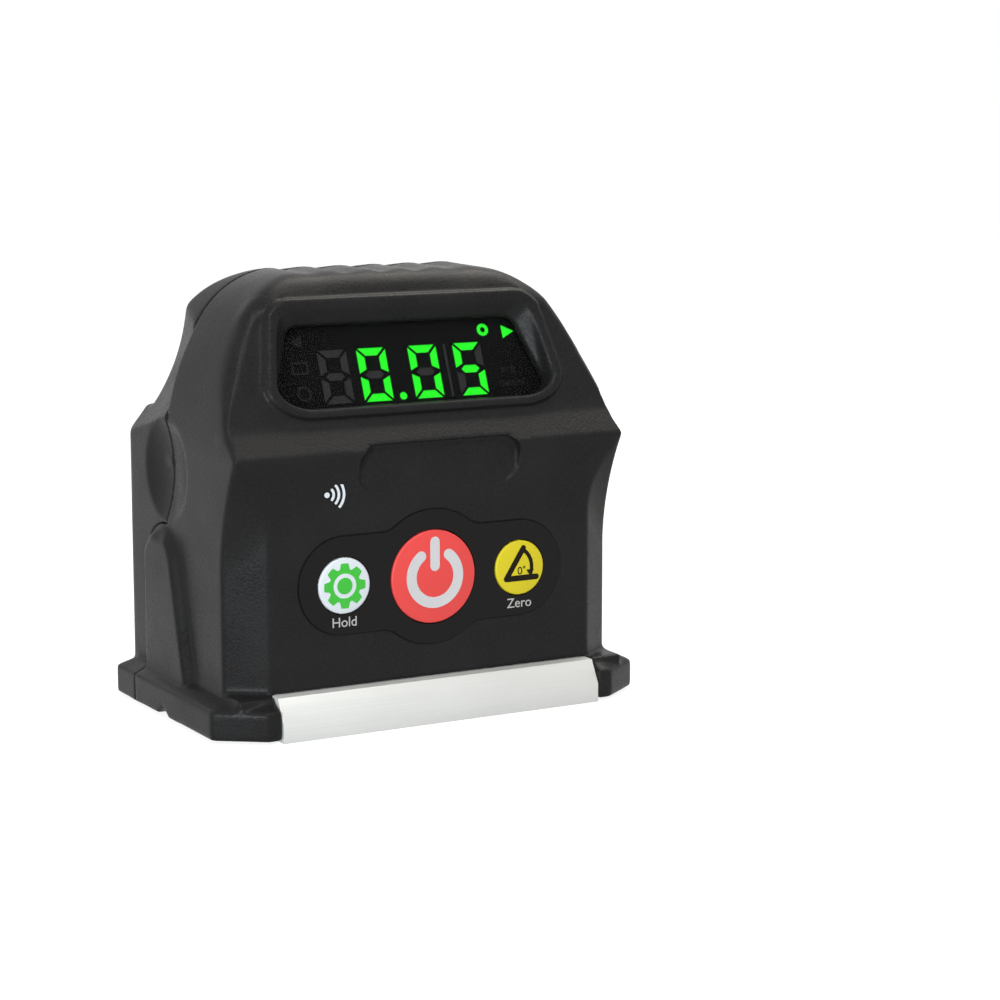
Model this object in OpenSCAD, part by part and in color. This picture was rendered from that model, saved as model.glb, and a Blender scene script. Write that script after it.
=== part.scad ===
// Digital angle gauge: a pocket level with a hooded lit display, three keys and a grooved magnetic rail.
// Sizes are in mm. X runs along the rail, the display faces -Y and Z is up.
// The origin is the middle of the rail's underside.

/* [Base] */
// Depth of the base from front to back
base_depth = 39; // [36:0.5:60]
// Length of a black end block, along the rail
block_len = 7.7; // [5:0.1:10]
// Height of the end blocks above the rail's underside
block_lift = 0.3; // [0:0.05:1]
// Height of the end blocks' upright edge
block_edge_h = 3.9; // [2:0.1:6]
// Width of the end blocks' sloping top
block_slope_w = 3.2; // [1:0.1:6]
// Rise of the end blocks' sloping top
block_slope_h = 1.5; // [0.5:0.1:4]
// Corner cut of the base, along the rail
corner_x = 5.8; // [2:0.1:10]
// Corner cut of the base, across the rail
corner_y = 4.2; // [2:0.1:10]
// Height of the metal rail
rail_h = 5.3; // [4:0.1:9]
// Height of the rail's upright edge
rail_edge_h = 2.4; // [1:0.1:4]
// Setback of the rail's sloping shoulder
rail_slope = 1.6; // [0.5:0.1:4]
// Width of the V groove under the base
groove_w = 4.6; // [2:0.1:10]
// Depth of the V groove
groove_depth = 1.4; // [0.5:0.1:3]
// Diameter of a base magnet
magnet_d = 8; // [4:0.5:10]
// Height of a base magnet
magnet_h = 2.5; // [1:0.1:3]
// Distance of the magnets from the middle, along the rail
magnet_x = 9.5; // [6:0.5:12]
// Distance of the magnets from the rail's long edges
magnet_edge = 9; // [6:0.5:12]

/* [Housing] */
// Distance from the end blocks' ends to the side walls
side_ledge = 2.8; // [2:0.1:6]
// Distance from the base's front edge to the key panel
front_ledge = 3.3; // [2:0.1:6]
// Distance from the base's rear edge to the rear face
rear_ledge = 2.3; // [2:0.1:6]
// Thickness of the key panel and of the hood
wall = 2; // [1.4:0.1:3]
// Thickness of the side and rear walls
side_wall = 1.8; // [1.2:0.1:3]
// Thickness of the floor
floor_t = 1.6; // [1:0.1:3]
// Corner cut beside the key panel, along X
chamfer_x = 4.7; // [2:0.1:8]
// Corner cut beside the key panel, along Y
chamfer_y = 3.5; // [2:0.1:8]
// Height at which the corner cuts start to flare out to the lip
flare_z = 21.5; // [10:0.5:28]
// Slant of the line where the flare starts, rising towards the key panel, in degrees
flare_slant = 40; // [0:1:45]
// Radius of the upright rear corners
rear_corner_r = 1.6; // [1:0.2:6]
// Height of the rear shoulder above the lip
ledge_rise = 3.4; // [2:0.1:8]
// Distance of the seam between the shells behind the middle
seam_y = 4; // [2:0.2:8]
// Distance of the seam at the side tongues behind the middle
seam_foot_y = 9.1; // [6:0.1:12]
// Radius of the round finger dimple
dimple_r = 6.6; // [4:0.2:9]
// Depth of the finger dimple
dimple_depth = 1.2; // [0.5:0.1:1.4]
// Distance of the finger dimple above the tongue
dimple_lift = 0.6; // [0.3:0.1:3]
// Height that the side tongues stand proud
tongue_t = 1.2; // [0.5:0.1:2]
// Radius of the side tongues' arched top
tongue_r = 4.3; // [3:0.1:6]
// Height of the middle of the tongue's arch
tongue_z = 18.2; // [14:0.1:22]
// Width of the flat land between the tongue's arch and the seam
tongue_land = 0.2; // [0.1:0.05:0.4]
// Lean of the tongue's front edge, in degrees
tongue_lean = 15; // [0:1:25]

/* [Hood] */
// Height of the lip over the key panel
lip_z = 34.4; // [32:0.1:40]
// Overhang of the lip in front of the key panel
lip_out = 1.2; // [0.6:0.1:3]
// Radius of the cove under the lip
cove_r = 11; // [6:0.5:20]
// Height of the hood above the lip
hood_h = 21.3; // [19:0.1:30]
// Distance below the lip at which the sides start to curve in
waist_drop = 1; // [0:0.1:4]
// Radius of the curved sides
side_r = 30; // [24:0.5:50]
// Radius of the top corners
corner_r = 12.4; // [6:0.2:14]
// Lean of the display face from upright, in degrees
face_tilt = 22; // [10:1:35]
// Setback of the display face's middle from the key panel
face_back = 4.6; // [2:0.1:8]
// Distance of the display face's middle below the top
face_drop = 9.9; // [9:0.1:16]
// Distance of the brow below the display face's middle
brow_drop = 8.2; // [7.8:0.1:10]
// Radius of the front edge of the top
front_edge_r = 5; // [2:0.2:8]
// Radius of the rear edge of the top
rear_edge_r = 7.4; // [2:0.2:8]
// Setback of the head's rear face at the shoulder
head_back = 3.1; // [2:0.1:6]
// Lean of the head's rear face, in degrees
head_rear_tilt = 15; // [5:1:25]
// Radius of the waist scooped into the rear shell's sides
scoop_r = 25; // [12:0.1:30]
// Depth of the scooped waist, at the seam
scoop_depth = 3.8; // [1:0.1:6]
// Distance of the scoop's axis below the top
scoop_drop = 4.1; // [2:0.1:10]
// Angle at which the scooped waist deepens towards the rear, in degrees
scoop_turn = 12; // [0:1:20]
// Number of grip grooves on the top
grip_count = 7; // [3:1:9]
// Spacing of the grip grooves
grip_pitch = 5; // [3:0.1:6]
// Width of a grip groove
grip_w = 3.5; // [2:0.1:5]
// Depth of a grip groove
grip_depth = 0.5; // [0.2:0.05:1]

/* [Display] */
// Distance from the housing's sides to the top of the bezel's opening
open_side_top = 9.6; // [7:0.1:14]
// Distance from the housing's sides to the bottom of the bezel's opening
open_side_bottom = 8.9; // [7:0.1:14]
// Height of the bezel's opening along the face
open_h = 13; // [10:0.1:15]
// Radius of the opening's upper corners
open_r_top = 1.8; // [0.5:0.1:4]
// Radius of the opening's lower corners
open_r_bottom = 3.4; // [0.5:0.1:5]
// Width of the raised bezel around the opening
bezel_w = 1.2; // [0.6:0.1:2]
// Height of the raised bezel
bezel_h = 0.9; // [0.3:0.1:1.5]
// Depth of the display window below the bezel
window_depth = 2; // [1.5:0.1:3]
// Distance from the housing's sides to the top of the window's clear area
clear_side_top = 11; // [8:0.1:16]
// Distance from the housing's sides to the bottom of the window's clear area
clear_side_bottom = 9.2; // [8:0.1:16]
// Height of the window's clear area
clear_h = 10.6; // [8:0.1:13]
// Drop of the clear area below the face's middle
clear_drop = 0.7; // [0:0.05:2]
// Radius of the clear area's upper corners
clear_r_top = 1.5; // [0.5:0.1:3]
// Radius of the clear area's lower corners
clear_r_bottom = 2; // [0.5:0.1:4]
// Thickness of the display window
window_t = 1; // [0.6:0.1:2]
// Overlap of the window behind the recess
window_rim = 0.8; // [0.4:0.1:1.2]
// Thickness of the LED module
led_t = 4; // [2:0.1:5]
// Thickness of the lit segments
mark_t = 0.1; // [0.05:0.05:0.3]
// Height of a digit
digit_h = 6.9; // [4:0.1:9]
// Width of a digit
digit_w = 4; // [2.5:0.1:5]
// Width of a digit's strokes
stroke = 0.96; // [0.4:0.02:1.2]
// Gap between a digit's strokes
stroke_gap = 0.25; // [0.1:0.05:0.5]
// Drop of the digits below the face's middle
digit_drop = 1.85; // [0:0.05:3]
// Distance of the first digit to the left of the middle
digit_left = 9.95; // [6:0.05:12]
// Spacing of the digits
digit_pitch = 5.45; // [4:0.05:7]
// Room for the decimal point
point_room = 1.75; // [1:0.05:3]
// Room for the dividing line
line_room = 1; // [0.5:0.05:2]
// Width of the dividing line
line_w = 0.3; // [0.1:0.05:0.6]
// Radius of the degree ring
degree_r = 0.8; // [0.4:0.05:1.2]
// Width of the degree ring's line
degree_line = 0.44; // [0.2:0.02:0.6]
// Distance of the small signs from the middle
sign_x = 14.6; // [13:0.1:15.5]
// Height of the upper signs above the face's middle
sign_v = 2.8; // [1:0.1:4]
// Spacing of the small signs
sign_pitch = 3.3; // [2:0.1:4]
// Size of a small sign
sign_size = 1.7; // [1:0.1:2.2]
// Width of the lines of a small sign
sign_line = 0.3; // [0.1:0.05:0.6]
// Width of the display board
display_w = 41.4; // [36:0.1:44]
// Height of the display board
display_h = 11; // [8:0.1:12]
// Distance of the display board's posts from its ends
post_edge = 1.2; // [1:0.1:3]
// Radius of the display board's posts
post_r = 1; // [0.6:0.1:1.5]

/* [Keys] */
// Height of the keys' middle
key_z = 18; // [15:0.1:20]
// Distance of the small keys from the middle
key_x = 12.4; // [10:0.1:15]
// Radius of the power key
power_r = 5.9; // [4:0.1:7]
// Radius of the small keys
small_r = 3.5; // [2.5:0.1:5]
// Travel of the keys
key_travel = 0.4; // [0.2:0.05:0.8]
// Height that the keys stand proud of the panel
key_proud = 0.2; // [0:0.05:1]
// Width of the rim that keeps a key in
key_rim = 0.9; // [0.5:0.1:1.5]
// Thickness of the rim that keeps a key in
key_rim_t = 0.8; // [0.5:0.1:1]
// Radius of the keypad sheet around the power key
pad_big_r = 8.6; // [7:0.1:10]
// Radius of the keypad sheet around the small keys
pad_small_r = 6.2; // [4.5:0.1:8]
// Radius of the keypad sheet's inner corners
pad_fillet_r = 3.1; // [1:0.1:4]
// Thickness of the keypad sheet
pad_t = 0.4; // [0.2:0.05:0.8]
// Width of the pill-shaped recess above the keys
pill_w = 22.6; // [15:0.1:30]
// Height of the pill-shaped recess
pill_h = 5.9; // [3:0.1:8]
// Radius of the recess's corners
pill_r = 2.4; // [1:0.1:2.6]
// Distance of the recess's middle below the lip
pill_drop = 2.2; // [1:0.1:4]
// Offset of the recess to the right
pill_x = 1; // [-3:0.1:3]
// Depth of the recess
pill_depth = 0.45; // [0.1:0.05:0.6]

/* [Batteries] */
// Diameter of a battery cell
cell_d = 10.5; // [10:0.1:10.6]
// Length of a battery cell with its button
cell_len = 44.5; // [44:0.1:45]
// Diameter of a cell's button
button_d = 3.8; // [3:0.1:4]
// Length of a cell's button
button_len = 0.8; // [0.5:0.1:1.2]
// Height of the lower cell above the floor
cell_lift = 1.4; // [1:0.1:3]
// Room between the two cells
cell_space = 1.7; // [0.6:0.1:3]
// Room for the contacts at the ends of a cell
contact_room = 6.3; // [4:0.1:8]
// Width of a contact
contact_w = 8.8; // [6:0.1:10]
// Thickness of a plate contact
plate_t = 1; // [0.3:0.1:2]
// Thickness of the plate under a coil contact
coil_plate_t = 0.5; // [0.3:0.1:1]
// Number of turns of a coil contact
coil_turns = 7; // [5:1:9]
// Radius of a coil contact's widest turn
coil_r = 3.4; // [2.5:0.1:4]
// Radius of a coil contact's narrowest turn
coil_tip_r = 1.65; // [1.2:0.05:3]
// Diameter of a coil contact's wire
wire_d = 0.8; // [0.5:0.1:1]
// Thickness of the walls around the cells
bay_wall = 1.2; // [0.8:0.1:2]
// Distance from the inner side walls to the door's opening
door_side = 1.4; // [1.2:0.1:4]
// Height of the door's opening above the floor
door_sill = 0.95; // [0.6:0.05:2]
// Height of the door's opening above the top of the cells' bay
door_over = 0.35; // [0.1:0.05:0.8]
// Thickness of the door
door_t = 1.6; // [1.2:0.1:1.8]
// Radius of the door's hinge pins
pin_r = 0.6; // [0.4:0.05:0.7]
// Length of the door's hinge pins
pin_len = 1.1; // [0.6:0.1:1.4]
// Radius of the thumb notch in the door
notch_r = 7; // [4:0.5:12]
// Width of the thumb notch
notch_w = 12; // [6:0.5:20]
// Depth of the thumb notch
notch_depth = 0.7; // [0.3:0.1:1]
// Distance of the thumb notch below the door's upper edge
notch_drop = 2.2; // [1:0.1:4]

/* [Circuit] */
// Thickness of the circuit boards
board_t = 1.4; // [0.8:0.1:2]
// Distance of the main board behind the key panel
board_back = 4.2; // [3.8:0.1:5]
// Distance from the inner side walls to the main board
board_side = 3; // [2:0.1:6]
// Height of the main board above the floor
board_lift = 1; // [0.4:0.1:2]
// Distance of the main board's upper edge below the lip
board_drop = 0.95; // [0.5:0.05:4]
// Side of a switch body
switch_w = 6; // [4:0.1:7]
// Height of a switch body
switch_h = 2.2; // [1:0.1:2.4]
// Radius of a switch plunger
plunger_r = 1.5; // [1:0.1:1.8]
// Side of the tilt sensor
sensor_w = 6.1; // [4:0.1:8]
// Thickness of the tilt sensor
sensor_t = 1.5; // [1:0.1:2]
// Side of the processor
processor_w = 7; // [5:0.1:9]
// Thickness of the processor
processor_t = 1; // [0.8:0.1:1.5]
// Width of the radio module
radio_w = 12; // [8:0.1:14]
// Height of the radio module
radio_h = 9; // [6:0.1:10]
// Thickness of the radio module
radio_t = 2; // [1.5:0.1:3]
// Distance of the components from the middle of the main board, along X
chip_x = 9; // [8.5:0.1:10]
// Distance of the components from the middle of the main board, along Z
chip_z = 5.5; // [4.5:0.1:7]
// Width of the flat link between the boards
link_w = 5; // [3:0.5:5]
// Thickness of the flat link
link_t = 0.3; // [0.1:0.05:0.5]
// Overlap of the flat link on each board
link_lap = 3; // [2:0.1:5]

/* [Screws] */
// Diameter of a screw's shank
screw_d = 2; // [1.6:0.1:2.5]
// Diameter of a screw's head
screw_head_d = 4; // [3:0.1:4.4]
// Height of a screw's head
screw_head_h = 1.4; // [1:0.1:2]
// Width of the hexagon socket in a screw's head
socket_d = 1.8; // [1:0.1:2]
// Depth of the hexagon socket
socket_depth = 0.7; // [0.4:0.1:1]
// Thickness of the wall of a screw's boss
boss_t = 1; // [0.8:0.1:2]
// Height of the base screws' bosses above the floor
boss_h = 0.6; // [0.3:0.1:1]
// Distance of the base screws from the inner side walls
base_screw_side = 6.5; // [5:0.1:9]
// Distance of the front base screws behind the key panel
base_screw_front = 6.7; // [5:0.1:8]
// Distance of the rear base screws in front of the rear face
base_screw_back = 4; // [4:0.1:5]
// Distance of the board screws from the main board's edges
board_screw_edge = 2.8; // [2:0.1:4]
// Length of the board screws
board_screw_len = 4; // [3:0.1:4.5]
// Distance of the housing screws from the middle
house_screw_x = 17.5; // [14:0.1:18]
// Distance of the housing screws below the top
house_screw_drop = 12.7; // [10:0.1:16]
// Length of the housing screws
house_screw_len = 7; // [5:0.1:8]
// Length of the housing screws' bosses on each side of the seam
house_boss = 4; // [3:0.1:5]

/* [Fits] */
// Gap between pieces that lie against each other
seat_gap = 0.05; // [0.02:0.01:0.2]
// Gap around the keys and the plungers
key_gap = 0.15; // [0.1:0.05:0.4]
// Gap around the battery door
door_gap = 0.15; // [0.1:0.05:0.4]
// Gap around the door's hinge pins
pin_gap = 0.05; // [0.02:0.01:0.1]
// Gap around the battery cells
cell_gap = 0.3; // [0.2:0.05:0.6]
// Gap of a screw in a clearance hole
screw_gap = 0.2; // [0.1:0.05:0.5]

/* [Hidden] */
$fn = 64;
fine = 128;
reach = 100;
cut = 1;
lap = 0.02;
sink = 3;

inner_w = (cell_len + contact_room) / 2;
half_w = inner_w + side_wall;
body_w = 2 * half_w;
base_x = half_w + side_ledge;
base_y = base_depth / 2;
rail_x = base_x - block_len;
panel_y = base_y - front_ledge;
panel_in = panel_y - wall;
rear_y = base_y - rear_ledge;
floor_z = rail_h + seat_gap;
floor_top = floor_z + floor_t;

lip_y = panel_y + lip_out;
cove_z = lip_z - sqrt(pow(cove_r, 2) - pow(cove_r - lip_out, 2));
ledge_z = lip_z + ledge_rise;
waist_z = lip_z - waist_drop;
top_z = lip_z + hood_h;
face_y = panel_y - face_back;
face_z = top_z - face_drop;
brow_z = face_z - brow_drop;
face_c = face_y * cos(face_tilt) + face_z * sin(face_tilt);
front_z = top_z - front_edge_r;
rear_z = top_z - rear_edge_r;
head_rear_y = rear_y - head_back;
chamfer_len = norm([chamfer_x, chamfer_y]);
chamfer_turn = atan2(chamfer_x, chamfer_y);
chamfer_n = ((half_w - chamfer_x) * chamfer_y + panel_y * chamfer_x) / chamfer_len;
flare_n = (half_w * chamfer_y + lip_y * chamfer_x) / chamfer_len - chamfer_n;
flare_t = (half_w * chamfer_x - lip_y * chamfer_y) / chamfer_len;
flare_rise = (lip_z - flare_z) * cos(flare_slant);
flare_r = (pow(flare_rise, 2) + pow(flare_n, 2)) / (2 * flare_n);
side_x = half_w - side_r;
corner_z = top_z - corner_r;
corner_cx = side_x + sqrt(pow(side_r - corner_r, 2) - pow(corner_z - waist_z, 2));
side_turn = atan2(corner_z - waist_z, corner_cx - side_x);
tongue_y = seam_foot_y - tongue_r + 5 * lap;
tongue_top = tongue_z + tongue_r + tongue_t;
dimple_z = tongue_top + dimple_lift + dimple_r;
dimple_ball = (pow(dimple_r, 2) + pow(dimple_depth, 2)) / (2 * dimple_depth);

open_top = half_w - open_side_top;
open_bottom = half_w - open_side_bottom;
clear_top = half_w - clear_side_top;
clear_bottom = half_w - clear_side_bottom;
window_back = window_depth + window_t;
window_v = -clear_drop;
led_front = window_back + seat_gap + mark_t;
led_w = 2 * (clear_top + window_rim);
led_h = clear_h + window_rim;
led_back = led_front + led_t;
post_x = display_w / 2 - post_edge;
digit_x = [for (i = [0 : 3])
    i * digit_pitch - digit_left + (i > 1 ? point_room : 0) + (i > 2 ? line_room : 0)];

board_y = panel_in - board_back;
board_w = 2 * (inner_w - board_side);
board_h = lip_z - board_drop - floor_top - board_lift;
board_z = floor_top + board_lift + board_h / 2;
cell_y = rear_y - door_t - cell_gap - cell_d / 2;
cell_low_z = floor_top + cell_lift + cell_d / 2;
cell_high_z = cell_low_z + cell_d + cell_space;
cell_left = inner_w - plate_t - 2 * seat_gap - cell_len;
bay_front = cell_y - cell_d / 2 - cell_gap;
bay_top = cell_high_z + cell_d / 2 + cell_gap;
door_w = 2 * (inner_w - door_side);
door_low = floor_top + door_sill;
door_top = bay_top + door_over;
door_axis_y = rear_y - door_t / 2;
door_axis_z = door_low + door_gap + door_t / 2;
boss_r = screw_d / 2 + boss_t;
base_screw_x = inner_w - base_screw_side;
base_screw_y = [base_screw_front - panel_y, rear_y - base_screw_back];
base_screw_top = floor_top + boss_h;
board_screw_x = board_w / 2 - board_screw_edge;
board_screw_dz = board_h / 2 - board_screw_edge;
house_screw_z = top_z - house_screw_drop;
house_screw_y = seam_y + house_boss;

shell_color = "#3a3a3c";
board_color = "#1f5b3a";
steel_color = "#b9babd";
cell_color = "#b08a3c";
contact_color = "#d6c48a";

// Extrudes a section in X and Z from y0 to y1
module along_y(y0, y1) {
    translate([0, y1, 0]) rotate([90, 0, 0]) linear_extrude(y1 - y0) children();
}

// Extrudes a section in Y and Z over half a length to each side
module along_x(half) {
    translate([-half, 0, 0]) rotate([90, 0, 90]) linear_extrude(2 * half) children();
}

// Places X, up and outward on the key panel
module on_panel() {
    translate([0, -panel_y, 0]) rotate([90, 0, 0]) children();
}

// Places X, up and outward on the display face
module on_face() {
    translate([0, -face_y, face_z]) rotate([90 - face_tilt, 0, 0]) children();
}

module both_sides() {
    children();
    mirror([1, 0, 0]) children();
}

// Distance along Y of the display face, set back by some depth
function face_at(z, back) = -(face_c - back - z * sin(face_tilt)) / cos(face_tilt);

// Distance along Y of the head's rear face, set in by some depth
function rear_at(z, back) =
    head_rear_y - (z - ledge_z) * tan(head_rear_tilt) - back / cos(head_rear_tilt);

function spot(centre, r, turn) = centre + r * [cos(turn), sin(turn)];

// Head seen from the front, set in by some depth
module head_section(in) {
    side_end = spot([side_x, waist_z], side_r - in, side_turn);
    low = lip_z - 2 * sink;
    union() {
        intersection() {
            translate([side_x, waist_z]) circle(side_r - in + lap, $fn = fine);
            translate([-side_x, waist_z]) circle(side_r - in + lap, $fn = fine);
            polygon([[-body_w, waist_z - sink], [body_w, waist_z - sink], [body_w, side_end.y], side_end,
                     [corner_cx, top_z - in], [-corner_cx, top_z - in], [-side_end.x, side_end.y],
                     [-body_w, side_end.y]]);
        }
        translate([corner_cx, corner_z]) circle(corner_r - in + 2 * lap);
        translate([-corner_cx, corner_z]) circle(corner_r - in + 2 * lap);
        translate([in - half_w, low]) square([body_w - 2 * in, waist_z - low]);
    }
}

// Hood and head seen from the side
module head_profile() {
    low = lip_z - 2 * sink;
    front_y = face_at(front_z, bezel_h + front_edge_r);
    back_y = rear_at(rear_z, rear_edge_r);
    union() {
        polygon([[-lip_y, low], [rear_at(ledge_z, 0), low], [rear_at(ledge_z, 0), ledge_z],
                 spot([back_y, rear_z], rear_edge_r, head_rear_tilt), [back_y, top_z], [front_y, top_z],
                 spot([front_y, front_z], front_edge_r, 180 - face_tilt),
                 [face_at(brow_z, bezel_h), brow_z], [-lip_y, lip_z]]);
        translate([front_y, front_z]) circle(front_edge_r + lap);
        translate([back_y, rear_z]) circle(rear_edge_r + lap);
    }
}

// Plan of the lower body with round rear corners
module body_plan() {
    corner = [half_w - rear_corner_r, rear_y - rear_corner_r];
    translate([-half_w, -lip_y]) square([body_w, lip_y + corner.y]);
    translate([-corner.x, -lip_y]) square([2 * corner.x, lip_y + rear_y]);
    translate(corner) circle(rear_corner_r);
    translate([-corner.x, corner.y]) circle(rear_corner_r);
}

// Corner cut beside the key panel, set in by some depth, flaring out to the lip
module corner_cut(in) {
    intersection() {
        rotate([0, 0, -chamfer_turn]) translate([chamfer_n - in, flare_t, flare_z])
            rotate([-flare_slant, 0, 0]) {
                translate([0, -reach / 2, -reach]) cube(reach);
                translate([flare_r - lap, 0, 0]) rotate([90, 0, 0])
                    cylinder(h = reach, r = flare_r, center = true, $fn = fine);
            }
        translate([-reach, -reach, floor_z - cut])
            cube([2 * reach, 2 * reach, lip_z - floor_z + 2 * cut]);
    }
}

// Cut that sets the key panel back below the lip
module panel_cut() {
    translate([-reach, -panel_y - reach, floor_z - cut])
        cube([2 * reach, reach, cove_z - floor_z + cut]);
    intersection() {
        translate([0, lap - panel_y - cove_r, cove_z]) rotate([0, 90, 0])
            cylinder(h = 2 * reach, r = cove_r, center = true, $fn = fine);
        translate([-reach, -panel_y - reach, cove_z - sink])
            cube([2 * reach, reach + cut, lip_z - cove_z + sink]);
    }
}

// Section of the base's sloping top at some distance from the middle
module roof_section(edge) {
    roof_z = block_edge_h + block_slope_h;
    polygon([[-edge, block_lift], [edge, block_lift], [edge, block_edge_h], [edge - block_slope_w, roof_z],
             [block_slope_w - edge, roof_z], [-edge, block_edge_h]]);
}

module end_blocks() {
    cut_turn = atan2(corner_x, corner_y);
    cut_edge = ((base_x - corner_x) * corner_y + base_y * corner_x) / norm([corner_x, corner_y]);
    intersection() {
        along_y(-base_y, base_y) roof_section(base_x);
        along_x(base_x) roof_section(base_y);
        rotate([0, 0, cut_turn]) along_y(-reach, reach) roof_section(cut_edge);
        rotate([0, 0, -cut_turn]) along_y(-reach, reach) roof_section(cut_edge);
    }
}

module groove(half) {
    below = 2 * cut * groove_depth / groove_w;
    along_x(half)
        polygon([[-groove_w / 2 - cut, -below], [groove_w / 2 + cut, -below], [0, groove_depth]]);
}

// Raised tongue on the right side wall, with an arched top and a bevelled front edge
module tongue() {
    arch = [half_w, tongue_y, tongue_z];
    foot_r = tongue_r + tongue_t;
    front = tongue_r - 2 * lap;
    intersection() {
        union() {
            translate(arch) rotate([0, 90, 0]) cylinder(h = tongue_t, r1 = foot_r, r2 = tongue_r);
            translate(arch - [cut, 0, 0]) rotate([0, 90, 0]) cylinder(h = cut + lap, r = foot_r);
            translate(arch) rotate([-tongue_lean, 0, 0]) translate([0, 0, -reach]) linear_extrude(reach)
                polygon([[-cut, -front - tongue_t], [0, -front - tongue_t], [tongue_t, -front],
                         [tongue_t, 3 * tongue_r], [-cut, 3 * tongue_r]]);
        }
        translate([half_w - cut, seam_foot_y - 5 * tongue_r, block_edge_h])
            cube([tongue_t + cut, 5 * tongue_r, tongue_top - block_edge_h]);
    }
}

// Outline with four round corners, narrower at the top
module soft_panel(top_half, bottom_half, h, r_top, r_bottom) {
    upper = [top_half - r_top, h / 2 - r_top];
    lower = [bottom_half - r_bottom, r_bottom - h / 2];
    run = upper - lower;
    turn = atan2(run.y, run.x) - acos((r_bottom - r_top) / norm(run));
    a = spot(upper, r_top, turn);
    b = spot(lower, r_bottom, turn);
    polygon([[-lower.x, -h / 2], [lower.x, -h / 2], b, a, [upper.x, h / 2], [-upper.x, h / 2],
             [-a.x, a.y], [-b.x, b.y]]);
    for (s = [-1, 1]) {
        translate([s * upper.x, upper.y]) circle(r_top + lap);
        translate([s * lower.x, lower.y]) circle(r_bottom + lap);
    }
}

// Outline of the bezel's opening, grown by some width
module opening(grow) {
    soft_panel(open_top + grow, open_bottom + grow, open_h + 2 * grow, open_r_top + grow,
               open_r_bottom + grow);
}

// Outline of the recess floor, where the window shows, grown by some width
module window_outline(grow) {
    translate([0, window_v])
        soft_panel(clear_top + grow, clear_bottom + grow, clear_h + 2 * grow, clear_r_top + grow,
                   clear_r_bottom + grow);
}

// Tapered recess from the bezel down to the window
module funnel() {
    hull($fn = 32) {
        translate([0, 0, -window_depth - lap]) linear_extrude(lap) window_outline(0);
        linear_extrude(cut) opening(0);
    }
}

module grip_grooves() {
    for (i = [0 : grip_count - 1])
        translate([(i - (grip_count - 1) / 2) * grip_pitch, 0, top_z]) along_y(-reach, reach)
            polygon([[-grip_w / 2, -grip_depth], [grip_w / 2, 0], [grip_w / 2, cut], [-grip_w / 2, cut]]);
}

// Outer form of both shells together
module housing() {
    step_y = seam_y + seat_gap / 2;
    difference() {
        union() {
            intersection() {
                translate([0, 0, floor_z - cut]) linear_extrude(ledge_z - floor_z + cut) body_plan();
                along_x(reach) polygon([[-lip_y, 0], [rear_y, 0], [rear_y, ledge_z], [step_y, ledge_z],
                                        [step_y, lip_z - sink], [-lip_y, lip_z - sink]]);
            }
            intersection() {
                along_y(-lip_y, rear_y) head_section(0);
                along_x(half_w) head_profile();
            }
            end_blocks();
            both_sides() tongue();
            on_face() translate([0, 0, -2 * bezel_h]) linear_extrude(2 * bezel_h) opening(bezel_w);
        }
        difference() {
            union() {
                both_sides() corner_cut(0);
                panel_cut();
            }
            translate([-reach, -reach, -reach]) cube([2 * reach, 2 * reach, reach + floor_z]);
            end_blocks();
        }
        both_sides() translate([half_w - dimple_depth + dimple_ball, seam_y, dimple_z])
            sphere(dimple_ball, $fn = fine);
        translate([-rail_x - seat_gap, -reach, -cut])
            cube([2 * (rail_x + seat_gap), 2 * reach, floor_z + cut]);
        groove(reach);
        grip_grooves();
    }
}

// Space inside the lower body
module lower_space() {
    difference() {
        translate([-inner_w, -panel_in, floor_top])
            cube([2 * inner_w, panel_in + rear_y - side_wall, lip_z - floor_top]);
        both_sides() corner_cut(wall);
    }
}

module front_space() {
    skin = bezel_h + wall;
    lower_space();
    intersection() {
        along_y(-lip_y, rear_y) head_section(wall);
        along_x(half_w) polygon([[face_at(lip_z - wall, skin), lip_z - wall], [rear_y, lip_z - wall],
                                 [rear_y, top_z - wall], [face_at(front_z, skin + sink), top_z - wall],
                                 [face_at(front_z, skin), front_z]]);
    }
}

module rear_space() {
    skin = 2 * wall;
    roof_z = top_z - 3 * wall;
    lower_space();
    intersection() {
        along_y(-lip_y, rear_y) head_section(3 * wall);
        along_x(half_w) polygon([[0, lip_z - wall], [rear_at(lip_z - wall, skin), lip_z - wall],
                                 [rear_at(roof_z, skin), roof_z], [0, roof_z]]);
    }
}

// Region of the front shell: up to the seam, and farther back around the side tongues
module front_region(gap) {
    foot_y = seam_foot_y - gap;
    along_x(reach) {
        polygon([[-reach, -cut], [foot_y, -cut], [foot_y, tongue_z], [seam_y - gap, tongue_z],
                 [seam_y - gap, reach], [-reach, reach]]);
        intersection() {
            translate([tongue_y, tongue_z]) circle(tongue_r + tongue_t + tongue_land - gap);
            translate([foot_y - reach, 0]) square(reach);
        }
    }
}

// A screw with a raised head at the end of its shank
module screw(len, head_d) {
    difference() {
        union() {
            cylinder(h = len, d = screw_d - seat_gap);
            translate([0, 0, len]) cylinder(h = screw_head_h, d = head_d);
        }
        translate([0, 0, len + screw_head_h - socket_depth]) cylinder(h = reach, d = socket_d, $fn = 6);
    }
}

// A screw with a countersunk head at the start of its shank
module flat_screw(len) {
    difference() {
        union() {
            cylinder(h = len, d = screw_d - seat_gap);
            cylinder(h = (screw_head_d - screw_d) / 2, d1 = screw_head_d, d2 = screw_d);
        }
        translate([0, 0, -cut]) cylinder(h = cut + socket_depth, d = socket_d, $fn = 6);
    }
}

module at_base_screws(rows = base_screw_y) {
    for (x = [-base_screw_x, base_screw_x], y = rows) translate([x, y, 0]) children();
}

module at_board_screws() {
    for (x = [-board_screw_x, board_screw_x], z = [-board_screw_dz, board_screw_dz])
        translate([x, 0, board_z + z]) rotate([-90, 0, 0]) children();
}

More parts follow.
